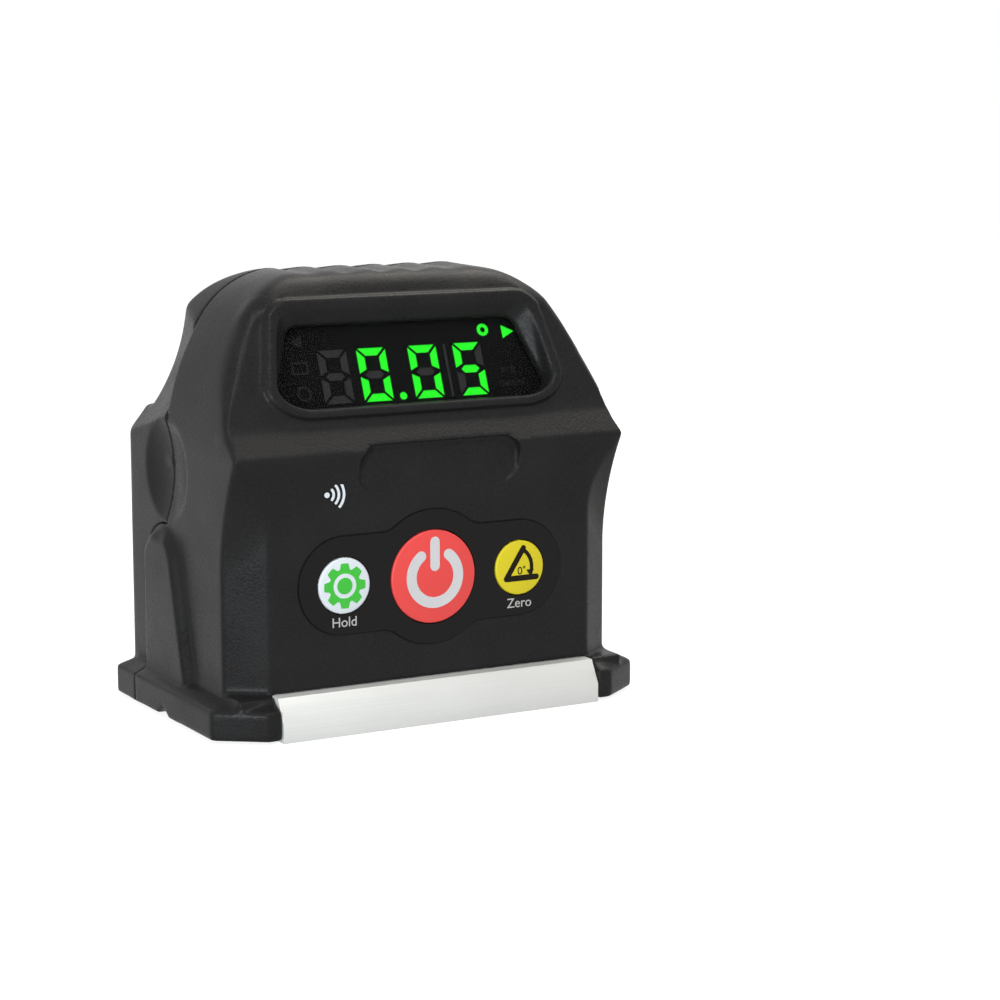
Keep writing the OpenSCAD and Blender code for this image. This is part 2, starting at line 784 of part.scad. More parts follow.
module at_house_screws() {
    for (x = [-house_screw_x, house_screw_x])
        translate([x, 0, house_screw_z]) rotate([-90, 0, 0]) children();
}

module at_magnets() {
    y0 = base_y - magnet_edge;
    for (x = [-magnet_x, magnet_x], y = [-y0, y0]) translate([x, y, 0]) children();
}

function key_size(x) = x == 0 ? power_r : small_r;

// Round holes for the keys, through what lies on the panel
module key_holes() {
    for (x = [-key_x, 0, key_x]) on_panel() translate([x, key_z, -wall - cut])
        cylinder(h = wall + 2 * cut, r = key_size(x) + key_gap);
}

// Outline of the keypad sheet: a wide middle with a round lobe at each end
module pad_outline() {
    bx = sqrt(pow(pad_big_r + pad_fillet_r, 2) - pow(pad_small_r + pad_fillet_r, 2));
    translate([0, key_z]) {
        translate([-key_x, -pad_small_r]) square([2 * key_x, 2 * pad_small_r]);
        for (x = [-key_x, key_x]) translate([x, 0]) circle(pad_small_r);
        circle(pad_big_r);
        for (sx = [-1, 1], sz = [-1, 1]) {
            a = [sx * bx, sz * pad_small_r / 2];
            b = [sx * bx, sz * (pad_small_r + pad_fillet_r)];
            difference() {
                polygon(sx * sz > 0 ? [[0, 0], a, b] : [[0, 0], b, a]);
                translate(b) circle(pad_fillet_r + lap);
            }
        }
    }
}

module pill_outline() {
    ex = pill_w / 2 - pill_r;
    ez = pill_h / 2 - pill_r;
    translate([pill_x, lip_z - pill_drop]) {
        translate([-pill_w / 2, -ez]) square([pill_w, 2 * ez]);
        translate([-ex, -pill_h / 2]) square([2 * ex, pill_h]);
        for (x = [-ex, ex], z = [-ez, ez]) translate([x, z]) circle(pill_r);
    }
}

module front_shell() {
    boss_len = board_back - seat_gap;
    color(shell_color) difference() {
        union() {
            difference() {
                intersection() {
                    housing();
                    front_region(0);
                }
                front_space();
            }
            at_board_screws() translate([0, 0, -panel_in - cut]) cylinder(h = boss_len + cut, r = boss_r);
            at_base_screws([base_screw_y[0]]) translate([0, 0, floor_z])
                cylinder(h = base_screw_top - floor_z, r = boss_r);
            intersection() {
                union() {
                    at_house_screws() translate([0, 0, seam_y - house_boss])
                        cylinder(h = house_boss, r = boss_r);
                    both_sides() translate([house_screw_x, seam_y - house_boss, house_screw_z - cut / 2])
                        cube([half_w, house_boss, cut]);
                }
                along_y(-reach, reach) head_section(wall / 2);
            }
            both_sides() on_face() translate([post_x, window_v, -led_back])
                cylinder(h = led_back - 2 * bezel_h, r = post_r);
        }
        on_face() funnel();
        on_face() translate([0, 0, -window_back - reach]) linear_extrude(reach + window_t)
            window_outline(window_rim + seat_gap);
        on_panel() translate([0, 0, -pad_t - seat_gap]) linear_extrude(lip_y) pad_outline();
        on_panel() translate([0, 0, -pill_depth]) linear_extrude(lip_y) pill_outline();
        key_holes();
        at_board_screws() translate([0, 0, cut - board_y - boss_len])
            cylinder(h = boss_len, d = screw_d + seat_gap);
        at_base_screws() translate([0, 0, floor_z - cut])
            cylinder(h = base_screw_top, d = screw_d + seat_gap);
        at_house_screws() translate([0, 0, -cut]) cylinder(h = reach, d = screw_d + seat_gap);
    }
}

module rear_shell() {
    low = floor_top + seat_gap;
    bay_x = inner_w - seat_gap;
    color(shell_color) difference() {
        union() {
            difference() {
                housing();
                front_region(-seat_gap);
                rear_space();
            }
            translate([-bay_x, bay_front - bay_wall, low])
                cube([2 * bay_x, bay_wall, bay_top + bay_wall - low]);
            translate([-bay_x, bay_front - bay_wall, bay_top])
                cube([2 * bay_x, rear_y - cut - bay_front + bay_wall, bay_wall]);
            translate([cut - half_w, seam_y + seat_gap, bay_top])
                cube([2 * (half_w - cut), rear_y - seam_y - cut, bay_wall]);
            at_base_screws([base_screw_y[1]]) translate([0, 0, floor_z])
                cylinder(h = base_screw_top - floor_z, r = boss_r);
            at_house_screws() translate([0, 0, seam_y + seat_gap])
                cylinder(h = house_boss + cut, r = screw_head_d / 2 + boss_t);
        }
        both_sides() translate([half_w + scoop_r - scoop_depth, seam_y, top_z - scoop_drop])
            rotate([90, 0, scoop_turn]) cylinder(h = reach, r = scoop_r, center = true, $fn = fine);
        translate([-door_w / 2, rear_y - side_wall - cut, door_low])
            cube([door_w, side_wall + 2 * cut, door_top - door_low]);
        both_sides() translate([door_w / 2 - cut, door_axis_y, door_axis_z]) rotate([0, 90, 0])
            cylinder(h = pin_len + cut + pin_gap, r = pin_r + pin_gap);
        at_base_screws() translate([0, 0, floor_z - cut])
            cylinder(h = base_screw_top, d = screw_d + seat_gap);
        at_house_screws() cylinder(h = house_screw_y + cut, d = screw_d + screw_gap);
        at_house_screws() translate([0, 0, house_screw_y]) cylinder(h = reach, d = screw_head_d + screw_gap);
    }
}

module base_rail() {
    sink_r = screw_head_d / 2 + screw_gap + cut;
    color("#c9cacc") difference() {
        along_x(rail_x) polygon([[-base_y, 0], [base_y, 0], [base_y, rail_edge_h],
                                 [base_y - rail_slope, rail_h], [rail_slope - base_y, rail_h],
                                 [-base_y, rail_edge_h]]);
        groove(reach);
        at_magnets() translate([0, 0, -cut])
            cylinder(h = magnet_h + 3 * seat_gap + cut, d = magnet_d + 2 * seat_gap);
        at_base_screws() translate([0, 0, -cut]) cylinder(h = reach, d = screw_d + screw_gap);
        at_base_screws() translate([0, 0, -cut]) cylinder(h = sink_r, r1 = sink_r, r2 = 0);
    }
}

module base_magnets() {
    color("#8f9093") at_magnets() translate([0, 0, 2 * seat_gap]) cylinder(h = magnet_h, d = magnet_d);
}

module base_screws() {
    color(steel_color) at_base_screws() translate([0, 0, 2 * seat_gap])
        flat_screw(base_screw_top - 3 * seat_gap);
}

module display_window() {
    color("#18181c", 0.6) on_face() translate([0, 0, -window_back]) linear_extrude(window_t)
        window_outline(window_rim);
}

module led_module() {
    color("#151517") on_face() translate([-led_w / 2, window_v - led_h / 2, -led_back])
        cube([led_w, led_h, led_t]);
}

// Upper or lower bar of a digit, mitred at its ends
module end_bar() {
    half = digit_w / 2 - stroke_gap;
    y = digit_h / 2;
    polygon([[stroke - half, y - stroke], [half - stroke, y - stroke], [half, y], [-half, y]]);
}

// Middle bar of a digit, pointed at both ends
module middle_bar() {
    half = digit_w / 2 - stroke / 2 - stroke_gap;
    e = stroke / 2;
    polygon([[-half, 0], [e - half, -e], [half - e, -e], [half, 0], [half - e, e], [e - half, e]]);
}

// Upper right bar of a digit, mitred at its upper end and sloping at its lower end
module side_bar() {
    x = digit_w / 2;
    y = digit_h / 2 - stroke_gap;
    polygon([[x - stroke, stroke / 2 + stroke_gap], [x, stroke_gap], [x, y], [x - stroke, y - stroke]]);
}

// The seven bars of a digit: top, middle, bottom, then upper and lower left and right
module digit(on) {
    if (on[0]) end_bar();
    if (on[1]) middle_bar();
    if (on[2]) rotate(180) end_bar();
    if (on[3]) mirror([1, 0]) side_bar();
    if (on[4]) side_bar();
    if (on[5]) rotate(180) side_bar();
    if (on[6]) mirror([0, 1]) side_bar();
}

module at_digits(marks) {
    for (i = [0 : 3]) translate([digit_x[i], -digit_drop]) digit(marks[i]);
}

module on_led() {
    on_face() translate([0, 0, -led_front]) linear_extrude(mark_t) children();
}

module ring(r, line) {
    difference() {
        circle(r);
        circle(r - line);
    }
}

module arrow_right() {
    polygon([[-sign_size / 2, -sign_size / 2], [sign_size / 2, 0], [-sign_size / 2, sign_size / 2]]);
}

module lit_segments() {
    zero = [true, false, true, true, true, true, true];
    five = [true, true, true, true, false, false, true];
    none = [for (i = [0 : 6]) false];
    degree_x = digit_x[3] + digit_w / 2 + degree_r;
    color("#2dff2d") on_led() {
        at_digits([none, zero, zero, five]);
        translate([digit_x[2] - digit_w / 2 - point_room, stroke / 2 - digit_drop - digit_h / 2])
            circle(stroke / 2);
        translate([degree_x, digit_h / 2 + 2 * degree_r - digit_drop]) ring(degree_r, degree_line);
        translate([sign_x + stroke, sign_v]) arrow_right();
    }
}

module unlit_segments() {
    full = [for (i = [0 : 6]) true];
    middle = [false, true, false, false, false, false, false];
    sides = [false, false, false, false, true, true, false];
    color("#3c3a3c") on_led() {
        at_digits([full, middle, middle, sides]);
        translate([(digit_x[2] + digit_x[3] - line_w) / 2, -digit_drop - digit_h / 2])
            square([line_w, digit_h]);
        translate([-sign_x, sign_v]) rotate(180) arrow_right();
        translate([-sign_x, sign_v - sign_pitch]) difference() {
            square([sign_size + 2 * sign_line, sign_size], center = true);
            square([sign_size, sign_size - 2 * sign_line], center = true);
        }
        translate([-sign_x, sign_v - 2 * sign_pitch]) ring(sign_size / 2 + sign_line / 2, sign_line);
    }
}

module display_board() {
    color(board_color) on_face()
        translate([-display_w / 2, window_v - display_h / 2, -led_back - board_t - seat_gap])
            cube([display_w, display_h, board_t]);
}

// Flat flexible link from the display board down to the main board
module board_link() {
    back = led_back + board_t + 2 * seat_gap;
    end_z = face_z + (window_v - display_h / 2) * cos(face_tilt) - back * sin(face_tilt);
    lower_y = board_t - board_y + seat_gap;
    lower_z = board_z + board_h / 2;
    color("#b8862e") along_x(link_w / 2) polygon([
        [lower_y, lower_z], [lower_y, lower_z - link_lap],
        [lower_y + link_t, lower_z - link_lap], [lower_y + link_t, lower_z],
        [face_at(end_z, back + link_t), end_z], [face_at(end_z + link_lap, back + link_t), end_z + link_lap],
        [face_at(end_z + link_lap, back), end_z + link_lap], [face_at(end_z, back), end_z]]);
}

module keypad_sheet() {
    color("#232324") difference() {
        on_panel() translate([0, 0, -pad_t]) linear_extrude(pad_t) pad_outline();
        key_holes();
    }
}

// A key cap with a rim that keeps it behind the panel
module key(x) {
    on_panel() translate([x, key_z, 0]) {
        translate([0, 0, -wall - key_rim_t]) cylinder(h = wall + key_rim_t + key_proud, r = key_size(x));
        translate([0, 0, -wall - seat_gap - key_rim_t]) cylinder(h = key_rim_t, r = key_size(x) + key_rim);
    }
}

module power_key() {
    color("#e84846") key(0);
}

module hold_key() {
    color("#e1e8ec") key(-key_x);
}

module zero_key() {
    color("#ebde28") key(key_x);
}

// Switch plunger between a key and the main board
module plunger(x) {
    front = panel_in - key_rim_t - 2 * seat_gap;
    back = board_y + key_travel + 2 * seat_gap;
    color("#e8e8e6") translate([x, -front, key_z]) rotate([-90, 0, 0])
        cylinder(h = front - back, r = plunger_r);
}

module power_plunger() {
    plunger(0);
}

module hold_plunger() {
    plunger(-key_x);
}

module zero_plunger() {
    plunger(key_x);
}

module key_switches() {
    color("#2a2a2c") for (x = [-key_x, 0, key_x])
        translate([x, -board_y - seat_gap, key_z]) rotate([90, 0, 0]) difference() {
            translate([-switch_w / 2, -switch_w / 2, 0]) cube([switch_w, switch_w, switch_h]);
            translate([0, 0, -cut]) cylinder(h = switch_h + 2 * cut, r = plunger_r + key_gap);
        }
}

module main_board() {
    color(board_color) difference() {
        translate([-board_w / 2, -board_y, board_z - board_h / 2]) cube([board_w, board_t, board_h]);
        at_board_screws() translate([0, 0, -board_y - cut])
            cylinder(h = board_t + 2 * cut, d = screw_d + screw_gap);
    }
}

// A component on the back of the main board
module chip(x, z, w, h, t) {
    translate([x - w / 2, board_t - board_y + seat_gap, board_z + z - h / 2]) cube([w, t, h]);
}

module tilt_sensor() {
    color("#c8c4b4") chip(-chip_x, -chip_z, sensor_w, sensor_w, sensor_t);
}

module processor() {
    color("#1c1c1e") chip(chip_x, -chip_z / 2, processor_w, processor_w, processor_t);
}

module radio_module() {
    color("#b4b6b8") chip(-chip_x, chip_z, radio_w, radio_h, radio_t);
}

module board_screws() {
    color(steel_color) at_board_screws() translate([0, 0, board_t - board_y + seat_gap - board_screw_len])
        screw(board_screw_len, screw_head_d - screw_gap);
}

// A cell with its button towards +X, its plain end at x = 0
module cell() {
    rotate([0, 90, 0]) {
        cylinder(h = cell_len - button_len, d = cell_d);
        cylinder(h = cell_len, d = button_d);
    }
}

module battery_upper() {
    color(cell_color) translate([cell_left, cell_y, cell_high_z]) cell();
}

module battery_lower() {
    color(cell_color) translate([-cell_left, cell_y, cell_low_z]) mirror([1, 0, 0]) cell();
}

// A plate contact on the wall at x = 0, towards +X
module plate_contact(t) {
    translate([0, -contact_w / 2, -contact_w / 2]) cube([t, contact_w, contact_w]);
}

// A coil contact on a plate, from the left wall to a cell's plain end
module coil_contact() {
    room = cell_left + inner_w - 2 * seat_gap;
    first = coil_plate_t + wire_d / 2 - 2 * lap;
    rise = (room - wire_d / 2 - first) / (coil_turns - 1);
    step = (coil_r - coil_tip_r) / (coil_turns - 1);
    plate_contact(coil_plate_t);
    rotate([0, 90, 0]) for (i = [0 : coil_turns - 1]) translate([0, 0, first + i * rise])
        rotate_extrude() translate([coil_r - i * step, 0]) circle(wire_d / 2, $fn = 24);
}

module contact_springs() {
    color(contact_color) {
        translate([seat_gap - inner_w, cell_y, cell_high_z]) coil_contact();
        translate([inner_w - seat_gap, cell_y, cell_low_z]) mirror([1, 0, 0]) coil_contact();
    }
}

module contact_plates() {
    color(contact_color) {
        translate([inner_w - seat_gap, cell_y, cell_high_z]) mirror([1, 0, 0]) plate_contact(plate_t);
        translate([seat_gap - inner_w, cell_y, cell_low_z]) plate_contact(plate_t);
    }
}

module battery_door() {
    w = door_w - 2 * door_gap;
    edge_z = door_top - door_gap;
    color(shell_color) difference() {
        union() {
            translate([-w / 2, rear_y - door_t, door_axis_z]) cube([w, door_t, edge_z - door_axis_z]);
            translate([0, door_axis_y, door_axis_z]) rotate([0, 90, 0])
                cylinder(h = w, d = door_t, center = true);
            translate([0, door_axis_y, door_axis_z]) rotate([0, 90, 0])
                cylinder(h = door_w + 2 * pin_len, r = pin_r, center = true);
        }
        translate([0, rear_y + notch_r - notch_depth, edge_z - notch_drop]) rotate([0, 90, 0])
            cylinder(h = notch_w, r = notch_r, center = true);
    }
}

module housing_screws() {
    color(steel_color) at_house_screws() translate([0, 0, house_screw_y + seat_gap - house_screw_len])
        screw(house_screw_len, screw_head_d);
}

front_shell();
rear_shell();
base_rail();
base_magnets();
base_screws();
display_window();
led_module();
lit_segments();
unlit_segments();
display_board();
board_link();
keypad_sheet();
power_key();
hold_key();
zero_key();
power_plunger();
hold_plunger();
zero_plunger();
key_switches();
main_board();
tilt_sensor();
processor();
radio_module();
board_screws();
battery_upper();
battery_lower();
contact_springs();
contact_plates();
battery_door();
housing_screws();
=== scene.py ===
import math

import bmesh
import bpy
import numpy as np
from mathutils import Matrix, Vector


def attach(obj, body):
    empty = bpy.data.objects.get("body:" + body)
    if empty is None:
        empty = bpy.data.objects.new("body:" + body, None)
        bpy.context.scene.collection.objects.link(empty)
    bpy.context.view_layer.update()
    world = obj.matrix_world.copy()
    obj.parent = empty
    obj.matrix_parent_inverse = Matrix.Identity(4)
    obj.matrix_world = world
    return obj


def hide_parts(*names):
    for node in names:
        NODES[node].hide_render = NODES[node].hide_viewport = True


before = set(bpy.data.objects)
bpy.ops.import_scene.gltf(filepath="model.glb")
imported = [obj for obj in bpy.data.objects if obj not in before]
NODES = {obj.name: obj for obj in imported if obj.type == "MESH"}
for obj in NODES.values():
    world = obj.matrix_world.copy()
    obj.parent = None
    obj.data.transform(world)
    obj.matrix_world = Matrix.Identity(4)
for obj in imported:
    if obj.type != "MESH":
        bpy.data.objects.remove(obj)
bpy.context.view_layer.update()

MM = 0.001

# Sizes shared with the solids, in mm
PANEL_Y = -16.2
KEY_Z = 18.0
KEY_X = 12.4
KEY_FACE = 0.2
FACE_Y = -11.6
FACE_Z = 45.8
FACE_TILT = math.radians(22)
LED_W = -3.05
WINDOW_DEPTH = 2.0
SEAM_Y = 4.0
SEAM_FOOT_Y = 9.1
TONGUE_Y = 4.9
TONGUE_Z = 18.2
TONGUE_R = 5.7
DIMPLE_Z = 30.9
PILL_X = 1.0
POWER_R = 5.9
SMALL_KEY_R = 3.5
KEY_GAP = 0.15
PAD_MIDDLE_R = 8.6
PAD_END_R = 6.2
PAD_FILLET = 3.1
CLEAR_TOP = 16.2
CLEAR_BOTTOM = 18.0
CLEAR_H = 10.6
CLEAR_R_TOP = 1.5
CLEAR_R_BOTTOM = 2.0
CLEAR_DROP = 0.7

# Rounding of the shells: voxel in mm, step of a smoothing round, share of the faces that is kept
VOXEL = 0.23
SMOOTHING_STEP = 0.9
KEPT_FACES = 0.3

# Smoothing rounds by place; hood, hood_corner, bezel_rim and lip are added to what is around them
ROUNDS = {"body": 6, "hood": 12, "hood_corner": 70, "bezel": 1.5, "bezel_rim": 6.5, "tongue": 3, "dimple": 4,
          "panel": 2, "lip": 6, "pill": 0.4, "rear": 3}

# Bezel: how far its ends are drawn out at the top, and how much more at the bottom, in mm
BEZEL_OUT = 0.9
BEZEL_OUT_LOWER = 1.0

# Printed signs: how far they reach into what carries them and stand out of it, in mm
PRINT_LOW = -0.02
PRINT = 0.035
WORD_HEIGHT = 0.05
WORD_SIZE = 1.75
WORD_DROP = 4.6
UNIT_SIZE = 1.5

# Sockets of a Mix node that mixes colours
MIX_A = 6
MIX_B = 7
MIX_RESULT = 2


# Materials

def add_group(name, inputs, outputs):
    """An empty shader group with named sockets: (tree, input node, output node)."""
    tree = bpy.data.node_groups.new(name, "ShaderNodeTree")
    for label, kind, value in inputs:
        socket = tree.interface.new_socket(label, in_out="INPUT", socket_type=kind)
        socket.default_value = value
    for label, kind in outputs:
        tree.interface.new_socket(label, in_out="OUTPUT", socket_type=kind)
    return tree, tree.nodes.new("NodeGroupInput"), tree.nodes.new("NodeGroupOutput")


def moulded_grain_group():
    """Fine moulded grain with slow cloudy changes of colour, for plastics and films."""
    tree, given, made = add_group(
        "moulded_grain",
        [("Color", "NodeSocketColor", (0.05, 0.05, 0.05, 1)),
         ("Cloud Scale", "NodeSocketFloat", 140.0),
         ("Cloud Amount", "NodeSocketFloat", 0.12),
         ("Grain Scale", "NodeSocketFloat", 5000.0),
         ("Grain Amount", "NodeSocketFloat", 0.1),
         ("Grain Height", "NodeSocketFloat", 0.00002),
         ("Roughness", "NodeSocketFloat", 0.5)],
        [("Color", "NodeSocketColor"), ("Roughness", "NodeSocketFloat"), ("Normal", "NodeSocketVector")])
    nodes, links = tree.nodes, tree.links
    place = nodes.new("ShaderNodeTexCoord")
    cloud = nodes.new("ShaderNodeTexNoise")
    cloud.inputs["Detail"].default_value = 4
    grain = nodes.new("ShaderNodeTexNoise")
    grain.inputs["Detail"].default_value = 2
    links.new(place.outputs["Object"], cloud.inputs["Vector"])
    links.new(place.outputs["Object"], grain.inputs["Vector"])
    links.new(given.outputs["Cloud Scale"], cloud.inputs["Scale"])
    links.new(given.outputs["Grain Scale"], grain.inputs["Scale"])

    def swing(source, amount):
        centred = nodes.new("ShaderNodeMath")
        centred.operation = "SUBTRACT"
        centred.inputs[1].default_value = 0.5
        links.new(source, centred.inputs[0])
        scaled = nodes.new("ShaderNodeMath")
        scaled.operation = "MULTIPLY"
        links.new(centred.outputs[0], scaled.inputs[0])
        links.new(amount, scaled.inputs[1])
        return scaled.outputs[0]

    both = nodes.new("ShaderNodeMath")
    both.operation = "ADD"
    links.new(swing(cloud.outputs["Fac"], given.outputs["Cloud Amount"]), both.inputs[0])
    links.new(swing(grain.outputs["Fac"], given.outputs["Grain Amount"]), both.inputs[1])
    level = nodes.new("ShaderNodeMath")
    level.operation = "MULTIPLY_ADD"
    level.inputs[1].default_value = 2.0
    level.inputs[2].default_value = 1.0
    links.new(both.outputs[0], level.inputs[0])
    tint = nodes.new("ShaderNodeVectorMath")
    tint.operation = "SCALE"
    links.new(given.outputs["Color"], tint.inputs[0])
    links.new(level.outputs[0], tint.inputs["Scale"])
    links.new(tint.outputs["Vector"], made.inputs["Color"])
    rough = nodes.new("ShaderNodeMath")
    rough.operation = "ADD"
    rough.use_clamp = True
    links.new(given.outputs["Roughness"], rough.inputs[0])
    links.new(both.outputs[0], rough.inputs[1])
    links.new(rough.outputs[0], made.inputs["Roughness"])
    bump = nodes.new("ShaderNodeBump")
    bump.inputs["Strength"].default_value = 1.0
    links.new(given.outputs["Grain Height"], bump.inputs["Distance"])
    links.new(grain.outputs["Fac"], bump.inputs["Height"])
    links.new(bump.outputs["Normal"], made.inputs["Normal"])
    return tree


def drawn_lines_group():
    """Fine lines along X, as drawing or brushing leaves on metal."""
    tree, given, made = add_group(
        "drawn_lines",
        [("Color", "NodeSocketColor", (0.7, 0.7, 0.7, 1)),
         ("Line Scale", "NodeSocketFloat", 4000.0),
         ("Line Amount", "NodeSocketFloat", 0.1),
         ("Line Height", "NodeSocketFloat", 0.000004),
         ("Roughness", "NodeSocketFloat", 0.35)],
        [("Color", "NodeSocketColor"), ("Roughness", "NodeSocketFloat"), ("Normal", "NodeSocketVector")])
    nodes, links = tree.nodes, tree.links
    place = nodes.new("ShaderNodeTexCoord")
    stretch = nodes.new("ShaderNodeMapping")
    stretch.inputs["Scale"].default_value = (0.012, 1, 1)
    links.new(place.outputs["Object"], stretch.inputs["Vector"])
    lines = nodes.new("ShaderNodeTexNoise")
    lines.inputs["Detail"].default_value = 3
    links.new(stretch.outputs["Vector"], lines.inputs["Vector"])
    links.new(given.outputs["Line Scale"], lines.inputs["Scale"])
    cloud = nodes.new("ShaderNodeTexNoise")
    cloud.inputs["Scale"].default_value = 180
    cloud.inputs["Detail"].default_value = 3
    links.new(place.outputs["Object"], cloud.inputs["Vector"])
    mixed = nodes.new("ShaderNodeMath")
    mixed.operation = "MULTIPLY_ADD"
    mixed.inputs[1].default_value = 0.5
    links.new(cloud.outputs["Fac"], mixed.inputs[0])
    links.new(lines.outputs["Fac"], mixed.inputs[2])
    centred = nodes.new("ShaderNodeMath")
    centred.operation = "SUBTRACT"
    centred.inputs[1].default_value = 0.75
    links.new(mixed.outputs[0], centred.inputs[0])
    scaled = nodes.new("ShaderNodeMath")
    scaled.operation = "MULTIPLY"
    links.new(centred.outputs[0], scaled.inputs[0])
    links.new(given.outputs["Line Amount"], scaled.inputs[1])
    level = nodes.new("ShaderNodeMath")
    level.operation = "ADD"
    level.inputs[1].default_value = 1.0
    links.new(scaled.outputs[0], level.inputs[0])
    tint = nodes.new("ShaderNodeVectorMath")
    tint.operation = "SCALE"
    links.new(given.outputs["Color"], tint.inputs[0])
    links.new(level.outputs[0], tint.inputs["Scale"])
    links.new(tint.outputs["Vector"], made.inputs["Color"])
    rough = nodes.new("ShaderNodeMath")
    rough.operation = "ADD"
    rough.use_clamp = True
    links.new(given.outputs["Roughness"], rough.inputs[0])
    links.new(scaled.outputs[0], rough.inputs[1])
    links.new(rough.outputs[0], made.inputs["Roughness"])
    bump = nodes.new("ShaderNodeBump")
    links.new(given.outputs["Line Height"], bump.inputs["Distance"])
    links.new(lines.outputs["Fac"], bump.inputs["Height"])
    links.new(bump.outputs["Normal"], made.inputs["Normal"])
    return tree


GRAIN = moulded_grain_group()
LINES = drawn_lines_group()


def finish_material(name, group, color, values, sockets=()):
    """A principled material whose colour, roughness and normal come from one of the groups."""
    mat = bpy.data.materials.new(name)
    mat.use_nodes = True
    nodes, links = mat.node_tree.nodes, mat.node_tree.links
    shader = nodes["Principled BSDF"]
    source = nodes.new("ShaderNodeGroup")
    source.node_tree = group
    source.inputs["Color"].default_value = (*color, 1)
    for label, value in values.items():
        source.inputs[label].default_value = value
    links.new(source.outputs["Color"], shader.inputs["Base Color"])
    links.new(source.outputs["Roughness"], shader.inputs["Roughness"])
    links.new(source.outputs["Normal"], shader.inputs["Normal"])
    for label, value in dict(sockets).items():
        shader.inputs[label].default_value = value
    return mat


def grainy(name, color, rough, cloud=0.1, grain=0.1, scale=5000.0, height=0.00002, **sockets):
    """A plastic or print with moulded grain; sockets are set on the shader itself."""
    values = {"Roughness": rough, "Cloud Amount": cloud, "Grain Amount": grain, "Grain Scale": scale,
              "Grain Height": height}
    return finish_material(name, GRAIN, color, values, {k.replace("_", " "): v for k, v in sockets.items()})


def drawn(name, color, rough, amount=0.12, **sockets):
    """A metal with drawn lines; sockets are set on the shader itself."""
    values = {"Roughness": rough, "Line Amount": amount}
    return finish_material(name, LINES, color, values, {k.replace("_", " "): v for k, v in sockets.items()})


SIGN_GREY = (0.021, 0.02, 0.021)
shell_plastic = grainy("shell_plastic", (0.0155, 0.0152, 0.0153), 0.34, cloud=0.3, grain=0.35, scale=3200,
                       height=0.00003, Specular_IOR_Level=0.08)
film_black = grainy("film_black", (0.0065, 0.0058, 0.006), 0.55, cloud=0.2, grain=0.6, scale=2600,
                    height=0.00004, Specular_IOR_Level=0.14)
rail_metal = drawn("rail_metal", (0.695, 0.695, 0.668), 0.45, amount=0.14, Metallic=0.2)
plated_steel = drawn("plated_steel", (0.5, 0.5, 0.51), 0.3, Metallic=1.0)
magnet_metal = drawn("magnet_metal", (0.38, 0.38, 0.4), 0.24, Metallic=1.0)
brass_contact = drawn("brass_contact", (0.66, 0.54, 0.26), 0.28, Metallic=1.0)
led_black = grainy("led_black", (0.0045, 0.0045, 0.0047), 0.6, Specular_IOR_Level=0.05)
sign_dull = grainy("sign_dull", SIGN_GREY, 0.5, Specular_IOR_Level=0.05)
mark_lit = grainy("mark_lit", (0.01, 0.2, 0.01), 0.5, Emission_Color=(0.022, 1.0, 0.024, 1),
                  Emission_Strength=1.15, Specular_IOR_Level=0.05)
window_smoke = grainy("window_smoke", (0.004, 0.004, 0.0044), 0.12, cloud=0.05, grain=0.05, height=0.0,
                      Alpha=0.14, Specular_IOR_Level=0.12)
key_red = grainy("key_red", (0.8, 0.064, 0.058), 0.5, cloud=0.06, grain=0.06, height=0.00001)
key_white = grainy("key_white", (0.74, 0.79, 0.83), 0.5, cloud=0.05, grain=0.05, height=0.00001)
key_yellow = grainy("key_yellow", (0.7, 0.585, 0.01), 0.5, cloud=0.06, grain=0.06, height=0.00001)
print_pale = grainy("print_pale", (0.66, 0.65, 0.66), 0.5, cloud=0.06, grain=0.06)
print_green = grainy("print_green", (0.045, 0.5, 0.04), 0.5, cloud=0.06, grain=0.06)
print_white = grainy("print_white", (0.76, 0.8, 0.83), 0.5, cloud=0.06, grain=0.06)
print_dark = grainy("print_dark", (0.009, 0.0075, 0.003), 0.5, cloud=0.06, grain=0.06,
                    Specular_IOR_Level=0.1)
print_grey = grainy("print_grey", (0.5, 0.49, 0.47), 0.5, cloud=0.06, grain=0.06)
board_green = grainy("board_green", (0.018, 0.11, 0.05), 0.35, cloud=0.2, grain=0.05)
chip_black = grainy("chip_black", (0.012, 0.012, 0.013), 0.5)
sensor_ceramic = grainy("sensor_ceramic", (0.56, 0.53, 0.44), 0.45)
link_film = grainy("link_film", (0.42, 0.21, 0.035), 0.3, cloud=0.12)
plunger_white = grainy("plunger_white", (0.7, 0.7, 0.68), 0.4)


def within(nodes, links, limit):
    """1 where a point is less than limit mm from the middle along X, else 0."""
    place = nodes.new("ShaderNodeTexCoord")
    axes = nodes.new("ShaderNodeSeparateXYZ")
    links.new(place.outputs["Object"], axes.inputs[0])
    along = nodes.new("ShaderNodeMath")
    along.operation = "ABSOLUTE"
    links.new(axes.outputs["X"], along.inputs[0])
    inside = nodes.new("ShaderNodeMath")
    inside.operation = "LESS_THAN"
    inside.inputs[1].default_value = limit * MM
    links.new(along.outputs[0], inside.inputs[0])
    return inside.outputs[0]


